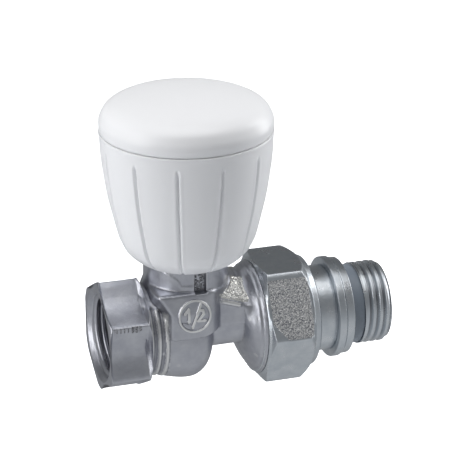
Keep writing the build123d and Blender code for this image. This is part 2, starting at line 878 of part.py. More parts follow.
with BuildPart() as tailpiece:
    pipe_turned(
        [
            (head_x, 0),
            (head_x, head_r - 1.4),
            (head_x + 1.4, head_r),
            (head_x + 2.3, head_r),
            (head_x + 2.3, head_r - 0.95),
            (head_x + 4.1, head_r - 0.95),
            (head_x + 4.1, head_r),
            (ring_x - ring_wire_r, head_r),
            (ring_x - ring_wire_r, ring_r - ring_wire_r),
            (ring_x + ring_wire_r, ring_r - ring_wire_r),
            (ring_x + ring_wire_r, tail_r),
            (tail_collar_x, tail_r),
            (tail_collar_x, tail_collar_r - 0.3),
            (tail_collar_x + 0.3, tail_collar_r),
            (tail_collar_x + tail_ring_1 - 0.3, tail_collar_r),
            (tail_collar_x + tail_ring_1, tail_collar_r - 0.6),
            (tail_collar_x + tail_ring_1 + 0.25, tail_collar_r2),
            (undercut_x - 0.4, tail_collar_r2),
            (undercut_x, tail_collar_r2 - 0.4),
            (undercut_x, undercut_r),
            (tail_thread_x, undercut_r),
            (tail_thread_x, male_r - 0.6),
            (tail_thread_x + 0.6, male_r),
            (tail_end_x - 0.9, male_r),
            (tail_end_x, male_r - 0.9),
            (tail_end_x, 0),
        ]
    )
    thread_roots(tail_thread_x + 1.35, 4, male_r, 1.0)
    # waterway and the hexagon socket for the tail key
    pipe_turned(
        [
            (head_x - 1, 0),
            (head_x - 1, tail_bore_r + 1.0),
            (head_x + 1, tail_bore_r),
            (tail_end_x + 1, tail_bore_r),
            (tail_end_x + 1, 0),
        ],
        Mode.SUBTRACT,
    )
    with BuildSketch(Plane.YZ.offset(tail_end_x - 9.0)):
        RegularPolygon(key_af / 2 / cos(pi / 6), 6)
    extrude(amount=10, mode=Mode.SUBTRACT)
    pipe_turned(
        [
            (tail_end_x - 0.9, 0),
            (tail_end_x - 0.9, key_af / 2 + 0.1),
            (tail_end_x + 0.1, key_af / 2 + 1.4),
            (tail_end_x + 0.1, 0),
        ],
        Mode.SUBTRACT,
    )
tailpiece.part.label = "tailpiece"
export_step(tailpiece.part, "parts/tailpiece.step")

with BuildPart() as tail_o_ring:
    with BuildSketch(Plane.XZ):
        with Locations((head_x + 3.2, head_r - 0.45)):
            Circle(0.48)
    revolve(axis=Axis.X)
tail_o_ring.part.label = "tail_o_ring"
export_step(tail_o_ring.part, "parts/tail_o_ring.step")

with BuildPart() as nut_retaining_ring:
    with BuildSketch(Plane.XZ):
        with Locations((ring_x, ring_r)):
            Circle(ring_wire_r)
    revolve(axis=Axis.X)
    with Locations((ring_x, 0, -ring_r)):
        Box(4, 1.6, 4, mode=Mode.SUBTRACT)
nut_retaining_ring.part.label = "nut_retaining_ring"
export_step(nut_retaining_ring.part, "parts/nut_retaining_ring.step")

with BuildPart() as thread_seal_ring:
    pipe_turned(
        [
            (undercut_x, undercut_r),
            (undercut_x, male_r - 0.55),
            (undercut_x + 0.3, male_r - 0.25),
            (tail_thread_x - 0.3, male_r - 0.25),
            (tail_thread_x, male_r - 0.55),
            (tail_thread_x, undercut_r),
        ]
    )
thread_seal_ring.part.label = "thread_seal_ring"
export_step(thread_seal_ring.part, "parts/thread_seal_ring.step")
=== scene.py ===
import json
import math

import bpy
import numpy as np
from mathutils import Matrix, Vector


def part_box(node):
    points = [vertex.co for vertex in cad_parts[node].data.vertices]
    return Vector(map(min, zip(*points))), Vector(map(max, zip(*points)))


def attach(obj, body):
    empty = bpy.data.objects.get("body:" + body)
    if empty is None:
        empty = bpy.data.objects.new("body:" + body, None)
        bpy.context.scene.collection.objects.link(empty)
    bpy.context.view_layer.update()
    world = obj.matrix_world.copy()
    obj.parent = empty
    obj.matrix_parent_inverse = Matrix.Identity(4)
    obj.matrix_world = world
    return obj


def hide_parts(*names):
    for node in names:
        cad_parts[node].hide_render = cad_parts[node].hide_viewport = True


# Straight radiator valve. Lengths inside the shape functions are millimetres; MM turns them to metres.
# X runs along the pipe line from the inlet, Z along the stem, and the front of the valve is -Y.
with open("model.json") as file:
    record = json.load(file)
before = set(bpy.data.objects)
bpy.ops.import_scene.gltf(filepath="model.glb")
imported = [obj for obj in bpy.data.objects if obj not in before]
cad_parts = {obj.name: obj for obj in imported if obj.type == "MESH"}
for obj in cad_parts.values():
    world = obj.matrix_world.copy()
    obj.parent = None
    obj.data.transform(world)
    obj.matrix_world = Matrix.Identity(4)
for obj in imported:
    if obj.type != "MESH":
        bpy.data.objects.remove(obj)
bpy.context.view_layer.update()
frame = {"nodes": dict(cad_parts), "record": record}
MM = 0.001
TAU = 2 * math.pi


def mm_box(node):
    """The node's lowest and highest corners in millimetres."""
    lo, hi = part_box(node)
    return np.array(lo) / MM, np.array(hi) / MM


# ---------------------------------------------------------------- sizes read from the frame
cap_lo, cap_hi = mm_box("handwheel_cap")
nut_lo, nut_hi = mm_box("union_nut")
tail_lo, tail_hi = mm_box("tailpiece")
seal_lo, seal_hi = mm_box("thread_seal_ring")
stem_x = float((cap_lo[0] + cap_hi[0]) / 2)
wheel_r = float((cap_hi[0] - cap_lo[0]) / 2)
wheel_base = float(mm_box("handwheel_skirt")[0][2])
wheel_rise = float(cap_hi[2] - wheel_base)

# ---------------------------------------------------------------- pipe threads, 14 to the inch
PIPE_PITCH = 1.814
HALF_INCH_R = 10.4775
THREE_QUARTER_R = 13.2205


# ---------------------------------------------------------------- grid surfaces
def rounded(points, radii, step=0.25, arc=5):
    """A broken line whose corner i is replaced by an arc of radii[i], cut into runs no longer than step.

    Each corner's arc starts r * tan(turn / 2) before the corner and ends as far after it.
    """
    p = np.asarray(points, float)
    out = [p[:1]]
    for i in range(1, len(p) - 1):
        a, b = p[i - 1] - p[i], p[i + 1] - p[i]
        la, lb = np.linalg.norm(a), np.linalg.norm(b)
        a, b = a / la, b / lb
        half = 0.5 * math.acos(float(np.clip(-(a @ b), -1, 1)))
        r = radii[i]
        if r <= 0 or half < 0.02:
            out.append(p[i : i + 1])
            continue
        back = min(r * math.tan(half), 0.45 * la, 0.45 * lb)
        r = back / math.tan(half)
        mid = (a + b) / np.linalg.norm(a + b)
        centre = p[i] + mid * (r / math.cos(half))
        t = np.linspace(-half, half, arc)[:, None]
        side = (b - a) / np.linalg.norm(b - a)
        out.append(centre - mid * r * np.cos(t) + side * r * np.sin(t))
    out.append(p[-1:])
    line = np.concatenate(out)
    run = np.linalg.norm(np.diff(line, axis=0), axis=1)
    parts = [
        a + (b - a) * np.linspace(0, 1, max(1, math.ceil(length / step)), endpoint=False)[:, None]
        for a, b, length in zip(line[:-1], line[1:], run)
        if length > 1e-6
    ]
    return np.concatenate(parts + [line[-1:]])


def mesh_piece(name, verts, faces, body, slot_name, material, stands_for=()):
    """Makes a smooth mesh object from arrays, turned outwards by its signed volume, and puts it on a body.

    A face whose last corner repeats its first is a triangle.
    """
    faces = np.asarray(faces, np.int64)
    tri = np.concatenate([faces[:, [0, 1, 2]], faces[:, [0, 2, 3]]])
    a, b, c = verts[tri[:, 0]], verts[tri[:, 1]], verts[tri[:, 2]]
    if np.einsum("ij,ij->", a, np.cross(b, c)) < 0:
        faces = faces[:, ::-1]
    three = faces[:, 3] == faces[:, 0]
    mesh = bpy.data.meshes.new(name)
    mesh.from_pydata((verts * MM).tolist(), [], faces[three, :3].tolist() + faces[~three].tolist())
    mesh.polygons.foreach_set("use_smooth", np.ones(len(mesh.polygons), bool))
    mesh.materials.append(material)
    mesh.update()
    piece = bpy.data.objects.new(name, mesh)
    bpy.context.scene.collection.objects.link(piece)
    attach(piece, body)
    if stands_for:
        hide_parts(*stands_for)
    return piece


def second_finish(piece, share, material):
    """Gives a second material to the faces whose corners' mean share is over a half."""
    mesh = piece.data
    mesh.materials.append(material)
    share = np.asarray(share, float).ravel()
    corner = np.empty(len(mesh.loops), int)
    start, size = np.empty((2, len(mesh.polygons)), int)
    mesh.loops.foreach_get("vertex_index", corner)
    mesh.polygons.foreach_get("loop_start", start)
    mesh.polygons.foreach_get("loop_total", size)
    mean = np.add.reduceat(share[corner], start) / size
    mesh.polygons.foreach_set("material_index", (mean > 0.5).astype(np.int32))
    mesh.update()


def sheet_faces(rows, columns, close_rows, close_columns):
    """The quads of a grid of rows x columns points, wrapped round where asked."""
    r = np.arange(rows if close_rows else rows - 1)
    c = np.arange(columns if close_columns else columns - 1)
    r0, c0 = [g.ravel() for g in np.meshgrid(r, c, indexing="ij")]
    r1, c1 = (r0 + 1) % rows, (c0 + 1) % columns
    return np.stack([r0 * columns + c0, r1 * columns + c0, r1 * columns + c1, r0 * columns + c1], 1)


def turned_piece(name, points, *rest):
    """A closed surface from a grid of points (rows along the outline, columns round the axis).

    Columns wrap. Rows wrap too, unless the outline starts and ends on the axis: then its first and
    last rows are single points, closed by a fan. The rest goes to mesh_piece.
    """
    rows, columns = points.shape[:2]
    fans = np.ptp(points[0], axis=0).max() < 1e-6
    if not fans:
        return mesh_piece(name, points.reshape(-1, 3), sheet_faces(rows, columns, True, True), *rest)
    inner = points[1:-1].reshape(-1, 3)
    verts = np.concatenate([inner, points[:1, 0], points[-1:, 0]])
    faces = sheet_faces(rows - 2, columns, False, True)
    c = np.arange(columns)
    n = (c + 1) % columns
    first, last = len(inner), len(inner) + 1
    top = (rows - 3) * columns
    head = np.stack([np.full(columns, first), c, n, np.full(columns, first)], 1)
    foot = np.stack([np.full(columns, last), top + n, top + c, np.full(columns, last)], 1)
    return mesh_piece(name, verts, np.concatenate([faces, head, foot]), *rest)


def smooth_step(x, lo, hi):
    """0 below lo, 1 above hi, and 3t^2 - 2t^3 between."""
    t = np.clip((x - lo) / (hi - lo), 0, 1)
    return t * t * (3 - 2 * t)


def lattice_noise(u, v, seed, cell=1.0):
    """Smooth noise from -1 to 1: random values on a square lattice, blended by the quintic curve."""
    table = np.random.default_rng(seed).uniform(-1, 1, (256, 256))
    u, v = np.asarray(u, float) / cell, np.asarray(v, float) / cell
    iu, iv = np.floor(u).astype(int), np.floor(v).astype(int)
    fu, fv = u - iu, v - iv
    fu, fv = fu**3 * (fu * (6 * fu - 15) + 10), fv**3 * (fv * (6 * fv - 15) + 10)
    a = table[iu % 256, iv % 256] * (1 - fu) + table[(iu + 1) % 256, iv % 256] * fu
    b = table[iu % 256, (iv + 1) % 256] * (1 - fu) + table[(iu + 1) % 256, (iv + 1) % 256] * fu
    return a * (1 - fv) + b * fv


def around_pipe(x, r, angle):
    """Points at station x and radius r; angle 0 is the front (-Y) and 90 degrees is up."""
    return np.stack([x + 0 * angle, -r * np.cos(angle), r * np.sin(angle)], -1)


def around_stem(r, z, angle):
    """Points at radius r and height z round the stem; angle 0 is the front (-Y), 90 degrees is +X."""
    return np.stack([stem_x + r * np.sin(angle), -r * np.cos(angle), z + 0 * angle], -1)


def hexagon_r(angle, across, corner):
    """Distance from the centre to a hexagon's side at an angle from a flat's middle, corner rounded.

    The side is at (across / 2) / cos(a), with a folded into one sixth of a turn; near the corners it is
    blended down to the rounding circle by a soft minimum.
    """
    a = (angle + TAU / 12) % (TAU / 6) - TAU / 12
    side = across / 2 / np.cos(a)
    top = across / 2 / math.cos(TAU / 12) - corner * 0.15
    k = corner * 0.25
    return -k * np.log(np.exp(-side / k) + np.exp(-top / k))


# ---------------------------------------------------------------- handwheel
# Both curves are (share of the wheel's height, share of its radius).
WHEEL_SIDE = np.array(
    [
        (0.000, 0.540), (0.022, 0.612), (0.073, 0.716), (0.120, 0.767), (0.167, 0.802), (0.285, 0.859),
        (0.403, 0.911), (0.521, 0.947), (0.639, 0.976), (0.733, 0.988), (0.770, 0.993), (0.786, 1.000),
        (0.796, 0.997),
    ]
)
WHEEL_DOME = np.array(
    [
        (0.800, 0.984), (0.812, 0.990), (0.840, 0.996), (0.862, 0.993), (0.885, 0.976), (0.920, 0.936),
        (0.946, 0.870), (0.968, 0.760), (0.984, 0.560), (0.994, 0.300), (1.000, 0.000),
    ]
)
GROOVES = 12
GROOVE_PHASE = math.radians(-51.8)
GROOVE_DEPTH, GROOVE_HALF = 0.80, 0.55
WEB_TOP, WEB_LOW, SKIRT_WALL = 47.8, 45.6, 2.0


def smooth_line(points, count):
    """A Catmull-Rom curve through the points, sampled evenly in length."""
    p = np.vstack([2 * points[0] - points[1], points, 2 * points[-1] - points[-2]])
    t = np.linspace(0, 1, 24, endpoint=False)[None, :, None]
    p0, p1, p2, p3 = (p[i : len(p) - 3 + i, None, :] for i in range(4))
    curve = 0.5 * (
        2 * p1 + (p2 - p0) * t + (2 * p0 - 5 * p1 + 4 * p2 - p3) * t**2 + (3 * p1 - p0 - 3 * p2 + p3) * t**3
    )
    curve = np.vstack([curve.reshape(-1, 2), points[-1:]])
    length = np.concatenate([[0], np.cumsum(np.linalg.norm(np.diff(curve, axis=0), axis=1))])
    s = np.linspace(0, length[-1], count)
    return np.stack([np.interp(s, length, curve[:, k]) for k in (0, 1)], 1)


def handwheel_skirt():
    """The skirt turned round the stem, with a vee groove at every twelfth of a turn.

    Radius = side curve - (depth * vee(distance round the wheel) - lip) * fade(height), where vee falls
    straight from 1 at the groove's middle to 0 at its edge, rounded at both, the lip is a low swelling
    beside the groove, and fade closes the groove over the 2.2 mm below its top end. Columns crowd
    towards the grooves. Inside, the wall steps in to a web that carries the bush.
    """
    side = smooth_line(WHEEL_SIDE, 110)
    z_out = wheel_base + side[:, 0] * wheel_rise
    r_out = side[:, 1] * wheel_r
    sector = np.linspace(-1, 1, 40, endpoint=False)
    sector = np.sign(sector) * (0.25 * np.abs(sector) + 0.75 * np.abs(sector) ** 3)
    angle = (sector[None, :] / 2 + np.arange(GROOVES)[:, None]).ravel() * TAU / GROOVES + GROOVE_PHASE
    off = (angle - GROOVE_PHASE + TAU / GROOVES / 2) % (TAU / GROOVES) - TAU / GROOVES / 2
    z_top = wheel_base + 0.735 * wheel_rise
    reach = np.abs(off)[None, :] * r_out[:, None]
    vee = np.clip(1 - reach / GROOVE_HALF, 0, 1)
    vee = np.sqrt(vee**2 + 0.01) - 0.1
    fade = smooth_step(-z_out, -z_top, -(z_top - 2.2))[:, None]
    lip = 0.07 * np.exp(-(((reach - 0.85) / 0.35) ** 2))
    r_grid = r_out[:, None] - (GROOVE_DEPTH * vee - lip) * fade
    collar_gap_r = float(r_out[0]) - 0.15
    inside = rounded(
        [
            (r_out[-1] - 0.35, z_out[-1]), (r_out[-1] - SKIRT_WALL, z_out[-1]), (r_out[-1] - 2.05, WEB_TOP),
            (0.0, WEB_TOP), (0.0, WEB_LOW), (r_out[-1] - 2.2, WEB_LOW), (r_out[70] - SKIRT_WALL, z_out[70]),
            (r_out[40] - SKIRT_WALL, z_out[40]), (r_out[20] - SKIRT_WALL, z_out[20] + 0.3),
            (collar_gap_r, z_out[0] + 1.9), (collar_gap_r, z_out[0] + 0.35),
        ],
        [0, 0.3, 0.3, 0, 0, 0.6, 0, 0, 0.8, 0.2, 0],
        step=1.6,
    )
    inside = inside[inside[:, 0] > 1e-6]
    outer = around_stem(r_grid, z_out[:, None], angle[None, :])
    inner = around_stem(inside[:, :1], inside[:, 1:], angle[None, :])
    return np.concatenate([outer, inner])


def handwheel_cap():
    """The dome turned round the stem: a smooth side curve, a rounded lower edge and a plug inside."""
    dome = smooth_line(WHEEL_DOME, 90)
    z = wheel_base + dome[:, 0] * wheel_rise
    r = dome[:, 1] * wheel_r
    inside = rounded(
        [
            (0, z[-1] - 2.2), (11, z[-1] - 3.0), (16.2, z[-1] - 4.4), (17.2, z[0] + 1.0), (17.3, z[0] - 2.9),
            (18.9, z[0] - 2.9), (19.0, z[0] - 0.05), (r[0] - 0.30, z[0] - 0.05), (r[0], z[0] + 0.12),
        ],
        [0, 2, 1.0, 0.5, 0.2, 0.3, 0.1, 0.15, 0],
        step=0.8,
    )
    angle = np.linspace(0, TAU, 240, endpoint=False)
    outline = np.concatenate([inside[:-1], np.stack([r, z], 1)])
    outline[-1, 0] = 0
    return around_stem(outline[:, :1], outline[:, 1:], angle[None, :])


# ---------------------------------------------------------------- union nut
NUT_BORE, NUT_MOUTH_R, NUT_WALL = 13.57, 11.3, 1.8
WINDOW_DEPTH, WINDOW_ROUGH = 0.16, 0.10


def union_nut():
    """The nut round the pipe line: a hexagon cut by a turned outline, with a window in every other flat.

    Radius = soft minimum of the hexagon at this angle and the turned outline at this station, less the
    window's depth. A window is a box in (station, distance along the flat) with one corner cut off, and
    a rough floor of two scales of lattice noise. Returns the grid and the windows' share, 0 to 1.
    """
    x0, x1 = float(nut_lo[0]), float(nut_hi[0])
    across = float(nut_hi[2] - nut_lo[2])
    corner = across / 2 / math.cos(TAU / 12)
    inner_x = x1 - NUT_WALL
    outline = rounded(
        [
            (x0, NUT_BORE + 0.5), (x0, across / 2 - 0.35), (x0 + 0.55, across / 2 + 0.25), (x0 + 1.3, corner),
            (x1 - 4.2, corner), (x1 - 2.15, across / 2 + 0.12), (x1 - 1.95, across / 2 - 0.28),
            (x1 - 0.45, across / 2 - 1.0), (x1, across / 2 - 1.7), (x1, NUT_MOUTH_R), (inner_x, NUT_MOUTH_R),
            (inner_x, NUT_BORE - 0.5), (x1 - 2.3, NUT_BORE), (x0 + 0.5, NUT_BORE), (x0, NUT_BORE + 0.5),
        ],
        [0, 0.15, 0.3, 0.3, 1.2, 0.2, 0.15, 0.5, 0.3, 0.3, 0.1, 0.1, 0.1, 0.2, 0],
        step=0.16,
    )[:-1]
    x, r = outline[:, 0], outline[:, 1]
    # the hidden bore keeps one row in five
    hidden = (r <= NUT_BORE + 0.35) & (np.arange(len(x)) % 5 != 0) & (x > x0 + 1.0)
    outline = outline[~hidden]
    x, r = outline[:, 0], outline[:, 1]
    flats = np.linspace(-1, 1, 84, endpoint=False)
    angle = ((flats[None, :] / 2 + np.arange(6)[:, None]) * TAU / 6 + TAU / 12).ravel()
    hexagon = hexagon_r(angle - TAU / 12, across, 0.9)[None, :]
    k = 0.10
    outer = (r > NUT_BORE + 0.3) & (x < x1 - 0.01) | (r > across / 2 - 3.0)
    body_r = -k * np.log(np.exp(-hexagon / k) + np.exp(-r[:, None] / k))
    body_r = np.where(outer[:, None], np.minimum(body_r, r[:, None]), r[:, None])
    along = (across / 2) * np.tan(angle % (TAU / 6) - TAU / 12)[None, :]
    station = x[:, None]
    left, right, tall = x0 + 0.95, x1 - 2.75, 0.455 * corner
    off_side = np.abs(station - (left + right) / 2) - (right - left) / 2
    edge = np.maximum(off_side, np.abs(along + 0.045 * corner) - tall + 0.1)
    edge = np.maximum(edge, 0.78 * (left + 0.9 - station) + 0.62 * (-0.30 * corner - along))
    face = np.round((angle - TAU / 12) / (TAU / 6))[None, :]
    rows = ((r > across / 2 - 0.4) & (x > x0 + 1) & (x < x1 - 2))[:, None]
    inside = smooth_step(-edge, 0.0, 0.20) * rows * (face % 2 == 0)
    u, v = station + 0 * along, along + 40 * face
    rough = lattice_noise(u, v, 11, 0.36) + lattice_noise(u * 0.8 + v * 0.6, v * 0.8 - u * 0.6, 12, 0.25)
    rough = np.clip(0.715 * rough, -1, 1)
    body_r = body_r - inside * (WINDOW_DEPTH - WINDOW_ROUGH * rough)
    return around_pipe(station, body_r, angle[None, :]), inside + 0 * body_r


# ---------------------------------------------------------------- threads and tailpiece
def thread_height(x, angle):
    """How far a right-hand pipe thread stands above its root, 0 to 1, at a station and angle.

    The phase is x / pitch - angle / turn; the height is a triangle wave with its crest cut and rounded.
    """
    phase = (x / PIPE_PITCH - angle / TAU) % 1.0
    return smooth_step(1 - np.abs(2 * phase - 1), 0.08, 0.70)


# The seal runs the first constant below, 1.4 mm, past its CAD node, and the thread starts there. The seal is
# real; its extra width is painted shade, a dark band where the tail is only in shade.
SEAL_SHADE_OVER, SEAL_BORE, SEAL_R = 1.4, 9.0, 10.15
TAIL_BORE, TAIL_R, HEAD_R, TAIL_COLLAR_R, KEY_ACROSS, KEY_DEPTH = 5.9, 10.95, 10.9575, 12.9, 12.0, 9.05


def thread_seal():
    """The seal ring round the tail behind its thread: a turned outline with softened corners, drawn wider than
    its CAD node so that its dark colour also paints shade on the tail.
    """
    lo, hi = float(seal_lo[0]), float(seal_hi[0]) + SEAL_SHADE_OVER
    corners = [(lo, SEAL_BORE), (lo, SEAL_R), (hi, SEAL_R), (hi, SEAL_BORE), (lo, SEAL_BORE)]
    outline = rounded(corners, [0, 0.35, 0.35, 0, 0], step=0.25)[:-1]
    return around_pipe(outline[:, :1], outline[:, 1:], np.linspace(0, TAU, 160, endpoint=False)[None, :])


def tailpiece():
    """The tail round the pipe line: turned outline, helical thread, hexagon key socket inside.

    On the threaded stretch the radius is crest - fade * (1 - thread(x, angle)), where fade rises from
    0 to 1 over the first half turn, and no more than a cone at the thread's end. In the socket the
    radius is that of a hexagon with rounded corners.
    """
    lo, hi = float(tail_lo[0]), float(tail_hi[0])
    groove_x, thread_x = float(seal_lo[0]), float(seal_hi[0]) + SEAL_SHADE_OVER
    collar_x = groove_x - 4.3
    ring_x = float(nut_hi[0]) - NUT_WALL - 0.85
    head, tail, ring_r, male = HEAD_R, TAIL_R, TAIL_COLLAR_R, HALF_INCH_R
    outline = rounded(
        [
            (lo + 0.9, TAIL_BORE), (lo, 6.9), (lo, head - 1.4), (lo + 1.4, head), (lo + 2.3, head),
            (lo + 2.3, head - 0.95), (lo + 4.1, head - 0.95), (lo + 4.1, head), (ring_x - 0.8, head),
            (ring_x - 0.8, 10.26), (ring_x + 0.8, 10.26), (ring_x + 0.8, tail), (collar_x - 0.35, tail),
            (collar_x - 0.2, tail - 0.35), (collar_x, tail - 0.35), (collar_x, ring_r),
            (collar_x + 1.95, ring_r), (collar_x + 2.12, ring_r - 0.9), (collar_x + 2.3, ring_r - 0.45),
            (groove_x, ring_r - 0.55),
            (groove_x, male - 1.6), (thread_x, male - 1.6), (thread_x, male), (hi - 0.15, male),
            (hi, male - 0.35), (hi, 7.4), (hi - 0.9, 6.2), (hi - 9.0, 6.0), (hi - 9.6, TAIL_BORE),
            (lo + 0.9, TAIL_BORE),
        ],
        [
            0, 0.3, 0.3, 0.3, 0.1, 0.1, 0.1, 0.1, 0.1, 0.1, 0.1, 0.1, 0.1, 0.05, 0.05, 0.35, 0.35,
            0.08, 0.25, 0.30, 0.1, 0.1, 0.1, 0.1, 0.1, 0.3, 0.2, 0.2, 0.1, 0,
        ],
        step=0.19,
    )[:-1]
    x, plain = outline[:, :1], outline[:, 1:]
    angle = np.linspace(0, TAU, 180, endpoint=False)[None, :]
    fade = smooth_step(x, thread_x, thread_x + 0.9)
    cone = 0.75 * (np.clip(hi - 0.1 - x, 0, 1.1) - 1.1)
    thread = np.minimum(male - fade * (1 - thread_height(x - lo, angle)), male + cone)
    r = np.where((x > thread_x - 0.01) & (plain > male - 0.6), thread, plain)
    socket = (x > hi - KEY_DEPTH) & (plain < 6.3)
    r = np.where(socket, np.maximum(hexagon_r(angle, KEY_ACROSS, 0.5), plain), r)
    return around_pipe(x, r, angle)


# ---------------------------------------------------------------- inlet end of the body
HEX_AF, HEX_LEN = 26.0, 10.0
NECK_BORE = 9.3155


def inlet_end():
    """The hexagonal inlet end round the pipe line, closed through its threaded mouth.

    Outside: the turned outline and the hexagon blended by a soft minimum, less a row of small nicks
    along one corner. Inside: root - depth * thread(x, angle), fading in from the mouth. Returns the grid
    and the nicks' depths, scaled so that over a half is a nick.
    """
    corner = HEX_AF / 2 / math.cos(TAU / 12)
    root = HALF_INCH_R
    outline = rounded(
        [
            (HEX_LEN + 1.0, 10.0), (HEX_LEN + 0.9, corner - 3.0), (HEX_LEN + 0.5, corner - 1.0),
            (HEX_LEN - 0.3, corner), (0.65, corner), (0.15, corner - 0.7), (0.0, corner - 1.1), (0.0, 11.7),
            (0.95, root + 0.15), (1.25, root), (HEX_LEN + 1.0, root), (HEX_LEN + 1.0, 10.0),
        ],
        [0, 0.3, 0.9, 0.5, 0.3, 0.4, 0.25, 0.35, 0.2, 0.1, 0, 0],
        step=0.16,
    )[:-1]
    x, r = outline[:, :1], outline[:, 1:]
    side = np.linspace(-1, 1, 44, endpoint=False)
    side = np.sign(side) * np.abs(side) ** 0.75
    angle = ((side[None, :] / 2 + np.arange(6)[:, None]) * TAU / 6).ravel()[None, :]
    k = 0.14
    flat = hexagon_r(angle, HEX_AF, 0.8)
    blend = -k * np.log(np.exp(-(flat - r) / k) + 1) + flat
    cut = np.where(r > 11.2, np.minimum(r, blend), r)
    from_corner = (angle - TAU / 12 + TAU / 2) % TAU - TAU / 2
    along = x / 1.04 + 0.25 * np.sin(7 * x)
    nick = np.clip(1 - np.abs((along % 1.0) - 0.5) / 0.30, 0, 1)
    band = np.exp(-(((from_corner * corner + 0.55) / 0.80) ** 2))
    reach = smooth_step(x, 0.8, 1.3) * (1 - smooth_step(x, 8.6, 9.2))
    nicks = nick * band * reach * (r > 13)
    cut = cut - 0.40 * nicks
    threaded = (np.abs(r - root) < 1e-6) & (x > 1.2)
    height = thread_height(x, angle) * smooth_step(x, 0.6, 2.0)
    cut = np.where(threaded, root - (root - NECK_BORE) * height, cut)
    return around_pipe(x, cut, angle), nicks * 2.0


# ---------------------------------------------------------------- cast body as a distance field
def soft_min(a, b, k):
    """min(a, b), rounded where the two are within k: less h * h * k / 4, h = max(k - |a - b|, 0) / k."""
    h = np.maximum(k - np.abs(a - b), 0) / k
    return np.minimum(a, b) - h * h * k / 4


def soft_max(a, b, k):
    """max(a, b), rounded the same way."""
    return -soft_min(-a, -b, k)


def corner_box(u, v, r):
    """Distance to a quarter plane u < 0, v < 0 whose corner is rounded by r."""
    u, v = u + r, v + r
    return np.hypot(np.maximum(u, 0), np.maximum(v, 0)) + np.minimum(np.maximum(u, v), 0) - r


BARREL_R, BARREL_END, BARREL_ROUND = 12.6, 27.6, 6.0
BOSS_END, BOSS_ROUND = 28.8, 4.6
BOSS_HALF, BOSS_LOW, COLLAR_LOW, COLLAR_TOP, COLLAR_R = 12.75, 2.1, 13.9, 22.0, 11.1
BRANCH_R, BRANCH_Z, FLARE_X, FLARE_R = 9.3, 3.6, 40.05, 14.6
FLARE_START = 35.4
SADDLE_HALF = 9.5
SPIGOT_X, SPIGOT_BORE = 50.0, 11.03
# waterways: port from the neck, seat, chamber round the seat, bore above the chamber, slanting outlet
PORT_R, SEAT_BORE, SEAT_R, CHAMBER_R, UPPER_R, OUTLET_R = 9.0, 5.2, 6.0, 8.3, 8.8, 6.0
CAST_LOW, CAST_HIGH, CAST_CELL = (9.3, -15.4, -15.4), (40.5, 15.4, 22.9), 0.34

def saddle_heights(x):
    """Heights of the saddle's crown and of its side edges at station x."""
    crown = 14.95 - 0.24 * (x - 28.8) - 0.05 * np.maximum(x - 32.5, 0) ** 2
    edge = 9.75 - 0.34 * (x - 29.5) - 0.01 * np.maximum(x - 33.0, 0) ** 2
    return crown, edge


def boss_lean(z):
    """How far the boss's sides have drawn in at height z."""
    return 0.21 * np.maximum(z - 8.6, 0)


def reed_height(x, z):
    """The three reeds turned round the neck: a cosine along the pipe line, fading at top and bottom."""
    wave = 0.44 * np.cos(TAU * (x - 10.85) / 1.9) * (1 - smooth_step(x, 15.1, 15.7))
    return wave * (1 - smooth_step(z, 8.8, 10.0)) * smooth_step(z, -12.5, -7.0)


def lip_distance(x, w, z):
    """Distance to the line of the saddle's lip, 4.3 mm long, along its lower edge."""
    line_x = np.clip(x, 29.6, 33.9)
    return np.sqrt((x - line_x) ** 2 + (w - 9.6) ** 2 + (z - saddle_heights(line_x)[1] + 0.05) ** 2)


